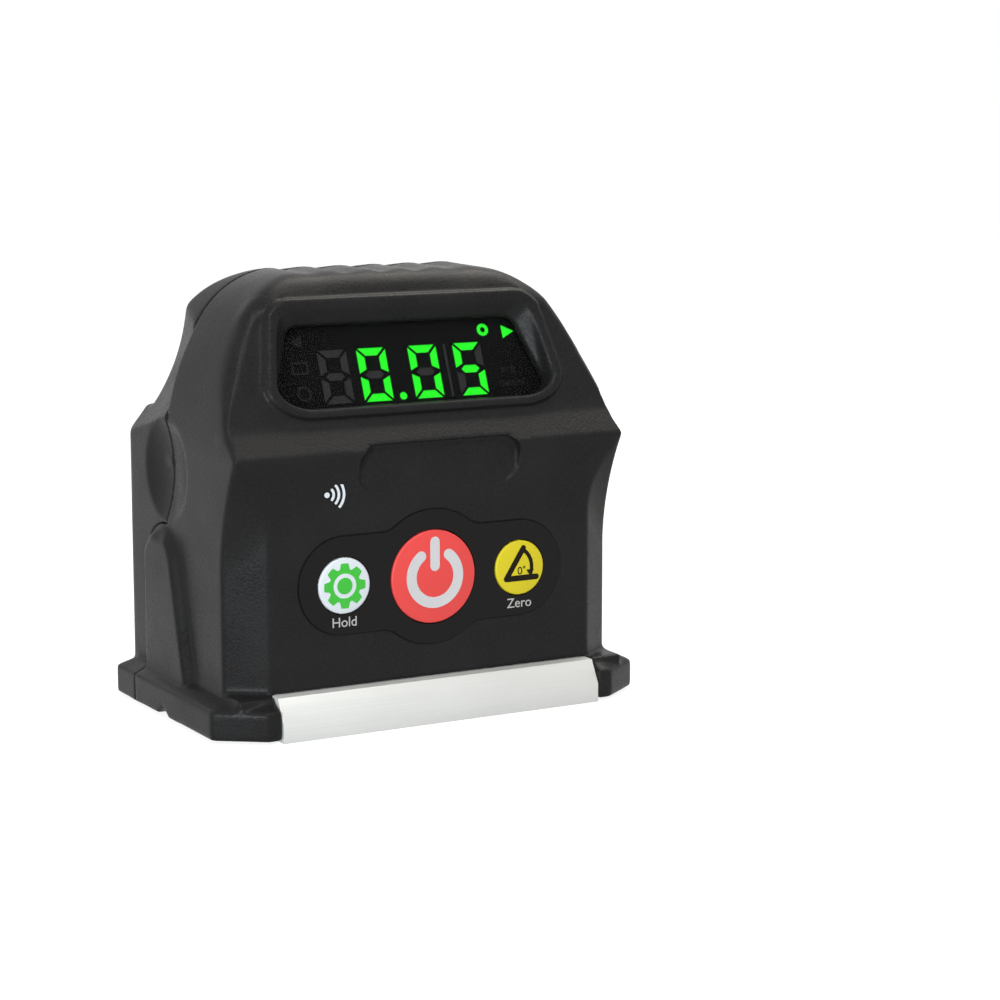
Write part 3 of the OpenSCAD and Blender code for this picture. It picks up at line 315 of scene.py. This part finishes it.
def inner_part(mat, limit, group, color, rough):
    """Gives a material another colour within limit mm from the middle; returns where that is."""
    nodes, links = mat.node_tree.nodes, mat.node_tree.links
    outer = next(n for n in nodes if n.type == "GROUP")
    inner = nodes.new("ShaderNodeGroup")
    inner.node_tree = group
    inner.inputs["Color"].default_value = (*color, 1)
    inner.inputs["Roughness"].default_value = rough
    mix = nodes.new("ShaderNodeMix")
    mix.data_type = "RGBA"
    inside = within(nodes, links, limit)
    links.new(inside, mix.inputs["Factor"])
    links.new(outer.outputs["Color"], mix.inputs[MIX_A])
    links.new(inner.outputs["Color"], mix.inputs[MIX_B])
    links.new(mix.outputs[MIX_RESULT], nodes["Principled BSDF"].inputs["Base Color"])
    return inside


def cell_wrap_material():
    """A plain cell: a wrap with bare metal ends."""
    mat = drawn("cell_wrap", (0.6, 0.6, 0.61), 0.3, Metallic=1.0)
    nodes, links = mat.node_tree.nodes, mat.node_tree.links
    inside = inner_part(mat, 20, GRAIN, (0.05, 0.075, 0.12), 0.3)
    bare = nodes.new("ShaderNodeMath")
    bare.operation = "SUBTRACT"
    bare.inputs[0].default_value = 1.0
    links.new(inside, bare.inputs[1])
    links.new(bare.outputs[0], nodes["Principled BSDF"].inputs["Metallic"])
    return mat


def dull_mark_material():
    """Unlit marks: the digits' bars are paler than the small signs at the ends."""
    mat = grainy("mark_dull", SIGN_GREY, 0.5, Specular_IOR_Level=0.05)
    inner_part(mat, 12.7, GRAIN, (0.046, 0.044, 0.046), 0.5)
    return mat


cell_wrap = cell_wrap_material()
mark_dull = dull_mark_material()


# Making pieces

def put(name, mesh, mat, body, slot, *nodes):
    """Links a finished mesh as a piece on a body, standing for the given nodes."""
    mesh.materials.clear()
    mesh.materials.append(mat)
    obj = bpy.data.objects.new(name, mesh)
    bpy.context.scene.collection.objects.link(obj)
    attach(obj, body)
    if nodes:
        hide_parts(*nodes)


def evaluated_mesh(mesh, add_modifiers):
    """The mesh after modifiers, as a plain mesh."""
    obj = bpy.data.objects.new("making", mesh)
    bpy.context.scene.collection.objects.link(obj)
    add_modifiers(obj)
    bpy.context.view_layer.update()
    made = bpy.data.meshes.new_from_object(obj.evaluated_get(bpy.context.evaluated_depsgraph_get()))
    bpy.data.objects.remove(obj)
    return made


def merged_copy(node):
    """A copy of a node's mesh with its loose triangles joined."""
    mesh = NODES[node].data.copy()
    bm = bmesh.new()
    bm.from_mesh(mesh)
    bmesh.ops.remove_doubles(bm, verts=bm.verts, dist=1e-7)
    bm.to_mesh(mesh)
    bm.free()
    return mesh


def smooth_faces(mesh, angle=None):
    """Smooth shading, with edges sharper than the angle kept where one is given."""
    mesh.polygons.foreach_set("use_smooth", [True] * len(mesh.polygons))
    if angle is not None:
        mesh.set_sharp_from_angle(angle=angle)
    return mesh


def soft_copy(node, rounds_at, fillers=(), drawn_out=None):
    """A moulded copy of a node: its edges are rounded by as many smoothing rounds as rounds_at gives.

    The fillers are joined to it first. drawn_out, where given, moves the rounded shape's points, in mm.
    """
    mesh = merged_copy(node)
    bm = bmesh.new()
    bm.from_mesh(mesh)
    for filler in fillers:
        bm.from_mesh(filler)
    bm.to_mesh(mesh)
    bm.free()

    def remesh(obj):
        mod = obj.modifiers.new("remesh", "REMESH")
        mod.mode = "VOXEL"
        mod.voxel_size = VOXEL * MM
        mod.adaptivity = 0
        mod.use_smooth_shade = True

    made = evaluated_mesh(mesh, remesh)
    count = len(made.vertices)
    co = np.empty(count * 3)
    made.vertices.foreach_get("co", co)
    co = co.reshape(-1, 3)
    edges = np.empty(len(made.edges) * 2, dtype=np.int64)
    made.edges.foreach_get("vertices", edges)
    a, b = edges[0::2], edges[1::2]
    ends, others = np.concatenate([a, b]), np.concatenate([b, a])
    degree = np.bincount(ends, minlength=count)
    rounds = rounds_at(co / MM)
    for i in range(int(math.ceil(rounds.max()))):
        still = rounds[ends] > i
        ends, others = ends[still], others[still]
        moving = rounds > i
        weight = np.clip(rounds[moving] - i, 0, 1) * SMOOTHING_STEP
        for k in range(3):
            mean = np.bincount(ends, weights=co[others, k], minlength=count)[moving] / degree[moving]
            co[moving, k] += weight * (mean - co[moving, k])
    if drawn_out:
        co = drawn_out(co / MM) * MM
    made.vertices.foreach_set("co", co.ravel())
    made.update()

    def thin(obj):
        mod = obj.modifiers.new("thin", "DECIMATE")
        mod.ratio = KEPT_FACES

    return smooth_faces(evaluated_mesh(made, thin))


def bevelled_copy(node, width):
    """A copy of a node with round edges of a width in mm."""
    mesh = merged_copy(node)
    bm = bmesh.new()
    bm.from_mesh(mesh)
    bmesh.ops.dissolve_limit(bm, angle_limit=math.radians(1), verts=bm.verts, edges=bm.edges)
    bm.to_mesh(mesh)
    bm.free()

    def bevel(obj):
        mod = obj.modifiers.new("bevel", "BEVEL")
        mod.width = width * MM
        mod.segments = 3
        mod.limit_method = "ANGLE"
        mod.angle_limit = math.radians(35)
        mod.use_clamp_overlap = True

    return smooth_faces(evaluated_mesh(mesh, bevel), math.radians(40))


def on_panel(u, v, w):
    """A point on the key panel: u along X, v up, w outward."""
    return Vector((u, PANEL_Y - w, v)) * MM


def on_face(u, v, w):
    """A point on the display face: u along X, v up the face, w outward."""
    s, c = math.sin(FACE_TILT), math.cos(FACE_TILT)
    return Vector((u, FACE_Y + v * s - w * c, FACE_Z + v * c + w * s)) * MM


def on_led(u, v, w):
    """A point on the LED module's front: u along X, v up the display face, w outward."""
    return on_face(u, v, w + LED_W)


def arc(radius, start, end, steps, centre=(0, 0)):
    """Points on an arc; angles in degrees, counter-clockwise from +u."""
    turns = [math.radians(start + (end - start) * i / steps) for i in range(steps + 1)]
    return [(centre[0] + radius * math.cos(t), centre[1] + radius * math.sin(t)) for t in turns]


def circle(radius, centre=(0, 0), steps=48):
    """Points of a closed circle."""
    return arc(radius, 0, 360, steps, centre)[:-1]


def stroke(points, width, caps=8):
    """Outline of a line of some width with round ends."""
    pts = [Vector(p) for p in points]
    half = width / 2
    left, right = [], []
    for i, p in enumerate(pts):
        before = (p - pts[i - 1]).normalized() if i else (pts[1] - p).normalized()
        after = (pts[i + 1] - p).normalized() if i + 1 < len(pts) else before
        side = (before + after).normalized()
        normal = Vector((-side.y, side.x)) * (half / max(0.4, side.dot(after)))
        left.append(p + normal)
        right.append(p - normal)

    def cap(centre, start):
        turn = math.atan2((start - centre).y, (start - centre).x)
        return [(centre.x + half * math.cos(turn - math.pi * k / caps),
                 centre.y + half * math.sin(turn - math.pi * k / caps)) for k in range(1, caps)]

    return [tuple(p) for p in left] + cap(pts[-1], left[-1]) + [tuple(p) for p in reversed(right)] \
        + cap(pts[0], right[0])


def flat_mesh(loops, place, low, high):
    """A thin plate from closed outlines, holes included, between two heights of a place."""
    curve = bpy.data.curves.new("outline", "CURVE")
    curve.dimensions = "2D"
    curve.fill_mode = "BOTH"
    curve.extrude = 0.5
    for loop in loops:
        spline = curve.splines.new("POLY")
        spline.points.add(len(loop) - 1)
        for point, (u, v) in zip(spline.points, loop):
            point.co = (u, v, 0, 1)
        spline.use_cyclic_u = True
    return place_curve(curve, place, low, high)


def place_curve(curve, place, low, high):
    """The mesh of a flat curve, laid between two heights of a place."""
    obj = bpy.data.objects.new("making", curve)
    bpy.context.scene.collection.objects.link(obj)
    bpy.context.view_layer.update()
    mesh = bpy.data.meshes.new_from_object(obj.evaluated_get(bpy.context.evaluated_depsgraph_get()))
    bpy.data.objects.remove(obj)
    for vert in mesh.vertices:
        u, v, w = vert.co
        vert.co = place(u, v, low if w < 0 else high)
    bm = bmesh.new()
    bm.from_mesh(mesh)
    bmesh.ops.remove_doubles(bm, verts=bm.verts, dist=1e-7)
    bmesh.ops.recalc_face_normals(bm, faces=bm.faces)
    bm.to_mesh(mesh)
    bm.free()
    return mesh


def word_mesh(words, size, centre, place, low, high):
    """Plain words, centred on a point of a place."""
    curve = bpy.data.curves.new("words", "FONT")
    curve.body = words
    curve.size = size
    curve.align_x = "CENTER"
    curve.align_y = "CENTER"
    curve.extrude = 0.5
    return place_curve(curve, lambda u, v, w: place(u + centre[0], v + centre[1], w), low, high)


# Shells

def ramp(x, low, high):
    """0 up to low, 1 from high on, and a straight line between them."""
    return np.clip((x - low) / (high - low), 0, 1)


def seam_distance(y, z):
    """Distance from the line between the two shells, which runs around the tongues lower down."""
    arch = np.hypot(y - TONGUE_Y, z - TONGUE_Z) - TONGUE_R
    below = np.where(z > TONGUE_Z, np.maximum(arch, y - SEAM_FOOT_Y), y - SEAM_FOOT_Y)
    return np.abs(np.where(z > TONGUE_Z + TONGUE_R, y - SEAM_Y, np.minimum(below, y - SEAM_Y)))


def face_place(y, z):
    """Distances up the display face from its middle and out of it."""
    s, c = math.sin(FACE_TILT), math.cos(FACE_TILT)
    return (y - FACE_Y) * s + (z - FACE_Z) * c, (z - FACE_Z) * s - (y - FACE_Y) * c


def wider_bezel(p):
    """Draws the bezel out to both sides, most at its lower end, and leaves the hood's flanks in place.

    The ramps' numbers are places in mm: across, from the flank, up the face and out of it.
    """
    x, y, z = np.abs(p[:, 0]), p[:, 1], p[:, 2]
    up, out = face_place(y, z)
    shift = BEZEL_OUT + BEZEL_OUT_LOWER * ramp(-up, -5, 5)
    flank = 26.4 - 0.36 * (z - 39)
    share = ramp(x, 15.5, 20.5) * (1 - ramp(x - flank, -3.2, 0))
    share *= (1 - ramp(up, 6.5, 9)) * (1 - ramp(-up, 7.5, 10)) * ramp(out, -4, -2.2)
    moved = p.copy()
    moved[:, 0] += np.sign(p[:, 0]) * shift * share
    return moved


def blend(rounds, other, share):
    """Rounds that turn into other ones as the share rises from 0 to 1."""
    return rounds * (1 - share) + other * share


def shell_rounds(p):
    """Smoothing rounds for both shells: many on the hood, few at the seam and around small forms.

    The ramps' numbers are places in mm, at which each region starts and is reached in full.
    """
    x, y, z = np.abs(p[:, 0]), p[:, 1], p[:, 2]
    rounds = ROUNDS["body"] + ROUNDS["hood"] * ramp(z, 35, 39)
    rounds += ROUNDS["hood_corner"] * ramp(x, 6, 11) * ramp(z, 40, 44) * (1 - ramp(y, -5, 1))

    up, out = face_place(y, z)
    bezel = (1 - ramp(x, 20, 22)) * (1 - ramp(np.abs(up), 7.9, 9)) * ramp(out, -4.5, -4)
    bezel *= 1 - ramp(x + up, 24.2, 25.7)
    rounds = blend(rounds, ROUNDS["bezel"] + ROUNDS["bezel_rim"] * ramp(out, -1.6, -0.4), bezel)

    tongue = ramp(x, 25, 26) * (1 - ramp(z, 24.5, 26)) * ramp(y, -6, -4)
    rounds = blend(rounds, ROUNDS["tongue"], tongue)
    dimple = ramp(x, 23, 24) * (1 - ramp(np.hypot(y - SEAM_Y, z - DIMPLE_Z), 8, 9))
    rounds = blend(rounds, ROUNDS["dimple"], dimple)

    front = 1 - ramp(y, -14.6, -13.6)
    panel = front * (1 - ramp(x, 21, 22)) * (1 - ramp(z, 35.6, 36.6))
    rounds = blend(rounds, ROUNDS["panel"] + ROUNDS["lip"] * ramp(z, 32.5, 34), panel)
    pill = front * (1 - ramp(np.abs(p[:, 0] - PILL_X), 12.2, 13))
    pill *= ramp(z, 27.8, 28.6) * (1 - ramp(z, 35.4, 36))
    rounds = blend(rounds, ROUNDS["pill"], pill)
    rear = (1 - ramp(x, 25, 26)) * (1 - ramp(z, 33, 34.5)) * ramp(y, 9.5, 10.5)
    rounds = blend(rounds, ROUNDS["rear"], rear)
    return rounds * (0.2 + 0.8 * ramp(seam_distance(y, z), 0.3, 2.5))


def soft_panel(grow):
    """Outline of the window's clear part on the display face, grown by some width."""
    top, bottom, height = CLEAR_TOP + grow, CLEAR_BOTTOM + grow, CLEAR_H + 2 * grow
    r_top, r_bottom = CLEAR_R_TOP + grow, CLEAR_R_BOTTOM + grow
    upper = Vector((top - r_top, height / 2 - r_top))
    lower = Vector((bottom - r_bottom, r_bottom - height / 2))
    run = upper - lower
    turn = math.degrees(math.atan2(run.y, run.x) - math.acos((r_bottom - r_top) / run.length))
    right = arc(r_bottom, -90, turn, 12, lower) + arc(r_top, turn, 90, 12, upper)
    whole = right + [(-u, v) for u, v in reversed(right)]
    return [(u, v - CLEAR_DROP) for u, v in whole]


def pad_outline(grow):
    """Outline of the keypad film, grown by some width: round ends and a round middle with fillets."""
    big, small, fillet = PAD_MIDDLE_R + grow, PAD_END_R + grow, PAD_FILLET - grow
    bx = math.sqrt((big + fillet) ** 2 - (small + fillet) ** 2)
    by = small + fillet
    turn = math.degrees(math.atan2(by, bx))
    quarter = arc(small, 0, 90, 20, (KEY_X, 0)) + arc(fillet, 270, 180 + turn, 10, (bx, by))
    quarter += arc(big, turn, 90, 20)
    half = quarter + [(-u, v) for u, v in reversed(quarter)][1:]
    full = half + [(u, -v) for u, v in reversed(half)]
    points = []
    for u, v in full:
        if not points or math.dist((u, v), points[-1]) > 1e-4:
            points.append((u, v))
    if math.dist(points[0], points[-1]) < 1e-4:
        points.pop()
    return [(u, v + KEY_Z) for u, v in points]


film_holes = [circle(POWER_R + KEY_GAP, (0, KEY_Z), 72), circle(SMALL_KEY_R + KEY_GAP, (-KEY_X, KEY_Z), 56),
              circle(SMALL_KEY_R + KEY_GAP, (KEY_X, KEY_Z), 56)]

# Fillers: a bed just under the keypad film, and a ring that gives the recess a firm edge at the window
bed = flat_mesh([pad_outline(0.4), *film_holes], on_panel, -1.2, -0.36)
window_lip = flat_mesh([soft_panel(1.5), soft_panel(0)], on_face, -WINDOW_DEPTH - 0.8, 0.05 - WINDOW_DEPTH)
front_mesh = soft_copy("front_shell", shell_rounds, fillers=[bed, window_lip], drawn_out=wider_bezel)
put("front_housing", front_mesh, shell_plastic, "gauge", "shell", "front_shell")
put("rear_housing", soft_copy("rear_shell", shell_rounds), shell_plastic, "gauge", "shell", "rear_shell")
put("cell_door", bevelled_copy("battery_door", 0.2), shell_plastic, "door", "shell", "battery_door")
put("metal_rail", bevelled_copy("base_rail", 0.18), rail_metal, "gauge", "rail", "base_rail")


# Keys and printed signs

# The film is a little smaller than its bed, which leaves a fine groove around it
film_mesh = flat_mesh([pad_outline(-0.1), *film_holes], on_panel, -0.4, 0.02)
put("keypad_film", film_mesh, film_black, "gauge", "sheet", "keypad_sheet")


def key_cap(name, node, body, mat, slot):
    """A key's cap with a round edge, in place of its node."""
    put(name, bevelled_copy(node, 0.22), mat, body, slot, node)


def key_place(x):
    """Points on the outer face of the key at some X, with the key's middle as origin."""
    return lambda u, v, w: on_panel(u + x, v + KEY_Z, w + KEY_FACE)


key_cap("power_cap", "power_key", "power_button", key_red, "red_key")
key_cap("hold_cap", "hold_key", "hold_button", key_white, "white_key")
key_cap("zero_cap", "zero_key", "zero_button", key_yellow, "yellow_key")


def key_print(loops, x, rise=0.0):
    """A flat sign on the face of the key at some X."""
    return flat_mesh(loops, key_place(x), PRINT_LOW, PRINT + rise)


power_sign = [stroke(arc(3.3, 126, 414, 60, (0.15, 0)), 1.38), stroke([(0.15, 1.35), (0.15, 4.4)], 1.32)]
put("power_sign", key_print(power_sign, 0), print_pale, "power_button", "white_key")


def ring_of_teeth():
    """Geometry nodes that set a number of teeth around a ring."""
    tree = bpy.data.node_groups.new("ring_of_teeth", "GeometryNodeTree")
    tree.interface.new_socket("Tooth", in_out="INPUT", socket_type="NodeSocketGeometry")
    for label, kind, value in (("Count", "NodeSocketInt", 8), ("Radius", "NodeSocketFloat", 1.0),
                               ("Material", "NodeSocketMaterial", None)):
        socket = tree.interface.new_socket(label, in_out="INPUT", socket_type=kind)
        if value is not None:
            socket.default_value = value
    tree.interface.new_socket("Teeth", in_out="OUTPUT", socket_type="NodeSocketGeometry")
    nodes, links = tree.nodes, tree.links
    given, made = nodes.new("NodeGroupInput"), nodes.new("NodeGroupOutput")
    ring = nodes.new("GeometryNodeMeshCircle")
    links.new(given.outputs["Count"], ring.inputs["Vertices"])
    links.new(given.outputs["Radius"], ring.inputs["Radius"])
    place = nodes.new("GeometryNodeInputPosition")
    turn = nodes.new("FunctionNodeAlignRotationToVector")
    turn.axis = "X"
    links.new(place.outputs["Position"], turn.inputs["Vector"])
    copies = nodes.new("GeometryNodeInstanceOnPoints")
    links.new(ring.outputs["Mesh"], copies.inputs["Points"])
    links.new(given.outputs["Tooth"], copies.inputs["Instance"])
    links.new(turn.outputs["Rotation"], copies.inputs["Rotation"])
    whole = nodes.new("GeometryNodeRealizeInstances")
    links.new(copies.outputs["Instances"], whole.inputs["Geometry"])
    paint = nodes.new("GeometryNodeSetMaterial")
    links.new(whole.outputs["Geometry"], paint.inputs["Geometry"])
    links.new(given.outputs["Material"], paint.inputs["Material"])
    links.new(paint.outputs["Geometry"], made.inputs["Teeth"])
    return tree


TOOTH = [(-0.25, -0.72), (0.66, -0.5), (0.7, 0), (0.66, 0.5), (-0.25, 0.72)]
GEAR_TEETH = 8
GEAR_ROOT_R = 2.12
GEAR_HOLE_R = 1.56
GEAR_HUB_R = 1.03


def as_given(u, v, w):
    """A place that leaves points where they are."""
    return Vector((u, v, w))


def gear_mesh(place, low, high):
    """A gear's ring with its teeth, laid between two heights of a place."""
    tooth = flat_mesh([TOOTH], as_given, -0.5, 0.5)
    tree = ring_of_teeth()
    sockets = {item.name: item.identifier for item in tree.interface.items_tree if item.in_out == "INPUT"}

    def teeth(obj):
        mod = obj.modifiers.new("teeth", "NODES")
        mod.node_group = tree
        mod[sockets["Count"]] = GEAR_TEETH
        mod[sockets["Radius"]] = GEAR_ROOT_R
        mod[sockets["Material"]] = print_green

    made = evaluated_mesh(tooth, teeth)
    ring = flat_mesh([circle(GEAR_ROOT_R + 0.02, steps=64), circle(GEAR_HOLE_R)], as_given, -0.5, 0.49)
    bm = bmesh.new()
    bm.from_mesh(made)
    bm.from_mesh(ring)
    for vert in bm.verts:
        u, v, w = vert.co
        vert.co = place(u, v, low + (high - low) * (w + 0.5))
    bm.to_mesh(made)
    bm.free()
    return made


gear = gear_mesh(key_place(-KEY_X), PRINT_LOW, PRINT)
put("gear_sign", gear, print_green, "hold_button", "white_key")
put("gear_hub", key_print([circle(GEAR_HUB_R)], -KEY_X), print_green, "hold_button", "white_key")

angle_sign = [stroke([(2.4, -1.35), (-2.0, -1.35)], 0.74), stroke([(-2.0, -1.35), (0.5, 2.5)], 0.74),
              stroke(arc(2.65, -20, 52, 16, (-0.94, 0.02)), 0.5),
              [(0.95, -0.35), (2.05, -0.35), (1.5, -1.2)]]
for i, loop in enumerate(angle_sign):
    put(f"angle_sign_{i}", key_print([loop], KEY_X, 0.002 * i), print_dark, "zero_button", "yellow_key")
nought = [[(a * u, b * v - 0.4) for u, v in circle(1)] for a, b in ((0.34, 0.5), (0.2, 0.36))]
put("angle_nought", key_print(nought, KEY_X), print_dark, "zero_button", "yellow_key")
degree = [circle(radius, (0.62, 0.0), 20) for radius in (0.17, 0.08)]
put("angle_degree", key_print(degree, KEY_X), print_dark, "zero_button", "yellow_key")

for name, words, x in (("hold_word", "Hold", -KEY_X), ("zero_word", "Zero", KEY_X)):
    word = word_mesh(words, WORD_SIZE, (x, KEY_Z - WORD_DROP), on_panel, 0.0, WORD_HEIGHT)
    put(name, word, print_grey, "gauge", "sheet")

# Plain wireless sign: a dot and three arcs
WAVE = (-14.6, 29.4)
waves = [circle(0.34, WAVE, 24)] + [stroke(arc(r, -42, 42, 14, WAVE), 0.32) for r in (0.9, 1.6, 2.3)]
for i, loop in enumerate(waves):
    put(f"wireless_sign_{i}", flat_mesh([loop], on_panel, -0.05, WORD_HEIGHT), print_white, "gauge", "shell")

# Display: a black border behind the window and two unlit unit signs
border = [(16.8, -6.2), (16.8, 4.8), (-16.8, 4.8), (-16.8, -6.2)]
put("window_border", flat_mesh([soft_panel(2), border], on_led, 0.005, 0.04), led_black, "gauge", "module")
unit_signs = (("unit_sign_upper", "in/ft", (14.6, -2.25)), ("unit_sign_lower", "mm/m", (14.8, -3.95)))
for name, words, centre in unit_signs:
    put(name, word_mesh(words, UNIT_SIZE, centre, on_led, -0.12, -0.01), sign_dull, "gauge", "unlit")

# Materials on the other nodes

node_materials = {
    magnet_metal: ("base_magnets",),
    plated_steel: ("base_screws", "radio_module", "board_screws", "housing_screws"),
    window_smoke: ("display_window",),
    led_black: ("led_module",),
    mark_lit: ("lit_segments",),
    mark_dull: ("unlit_segments",),
    board_green: ("display_board", "main_board"),
    link_film: ("board_link",),
    plunger_white: ("power_plunger", "hold_plunger", "zero_plunger"),
    chip_black: ("key_switches", "processor"),
    sensor_ceramic: ("tilt_sensor",),
    cell_wrap: ("battery_upper", "battery_lower"),
    brass_contact: ("contact_springs", "contact_plates"),
}
for mat, names in node_materials.items():
    for node in names:
        slots = NODES[node].data.materials
        slots.clear()
        slots.append(mat)

# Floor, light and camera

scene = bpy.context.scene
scene.view_settings.view_transform = "Standard"


def shown_rays(nodes, links, lighting, shown):
    """A strength that is one value as light on the object and another as the background that is seen."""
    rays = nodes.new("ShaderNodeLightPath")
    total = rays.outputs["Is Camera Ray"]
    for label in ("Is Glossy Ray", "Is Transmission Ray"):
        add = nodes.new("ShaderNodeMath")
        add.operation = "MAXIMUM"
        links.new(total, add.inputs[0])
        links.new(rays.outputs[label], add.inputs[1])
        total = add.outputs[0]
    strength = nodes.new("ShaderNodeMapRange")
    strength.inputs["To Min"].default_value = lighting
    strength.inputs["To Max"].default_value = shown
    links.new(total, strength.inputs["Value"])
    return strength.outputs["Result"]


# The floor lies just under the rail; sizes here and of the lamps are in m
FLOOR_HALF = 6
FLOOR_Z = -0.05 * MM
floor_corners = [(FLOOR_HALF * a, FLOOR_HALF * b, FLOOR_Z) for a, b in ((-1, -1), (1, -1), (1, 1), (-1, 1))]
floor_mesh = bpy.data.meshes.new("floor")
floor_mesh.from_pydata(floor_corners, [], [(0, 1, 2, 3)])
floor = bpy.data.objects.new("floor", floor_mesh)
scene.collection.objects.link(floor)
floor_white = bpy.data.materials.new("floor_white")
floor_white.use_nodes = True
f_nodes, f_links = floor_white.node_tree.nodes, floor_white.node_tree.links
plain = f_nodes["Principled BSDF"]
plain.inputs["Base Color"].default_value = (0.36, 0.36, 0.36, 1)
plain.inputs["Roughness"].default_value = 0.9
plain.inputs["Specular IOR Level"].default_value = 0.0
plain.inputs["Emission Color"].default_value = (1, 1, 1, 1)
f_links.new(shown_rays(f_nodes, f_links, 0.0, 0.87), plain.inputs["Emission Strength"])
floor_mesh.materials.append(floor_white)

world = bpy.data.worlds.new("studio")
scene.world = world
world.use_nodes = True
w_nodes, w_links = world.node_tree.nodes, world.node_tree.links
background = w_nodes["Background"]
background.inputs["Color"].default_value = (1, 1, 1, 1)
w_links.new(shown_rays(w_nodes, w_links, 0.38, 1.0), background.inputs["Strength"])


def lamp(name, place, target, size, watts, color):
    """A round soft lamp at a place, turned to a target."""
    data = bpy.data.lights.new(name, "AREA")
    data.shape = "DISK"
    data.size = size
    data.energy = watts
    data.color = color
    obj = bpy.data.objects.new(name, data)
    scene.collection.objects.link(obj)
    obj.location = place
    obj.rotation_euler = (Vector(target) - Vector(place)).to_track_quat("-Z", "Y").to_euler()


lamp("top_softbox", (0.2, 0.12, 0.42), (0, 0, 0.035), 0.3, 1.1, (1.0, 0.94, 0.86))
lamp("front_softbox", (-0.06, -0.34, 0.54), (0, 0, 0.03), 0.3, 1.5, (1.0, 0.97, 0.92))
lamp("left_softbox", (-0.36, -0.33, 0.09), (0, 0, 0.03), 0.16, 1.6, (0.86, 0.93, 1.0))

camera = bpy.data.cameras.new("photo_view")
camera.lens = 94.4
camera.sensor_width = 36
camera.clip_start = 0.01
camera.clip_end = 50
eye = bpy.data.objects.new("photo_view", camera)
scene.collection.objects.link(eye)
EYE = Vector((-152.2, -300.0, 79.34)) * MM
AIM = Vector((18.84, 0, 23.9)) * MM
eye.location = EYE
eye.rotation_euler = (AIM - EYE).to_track_quat("-Z", "Y").to_euler()
scene.camera = eye
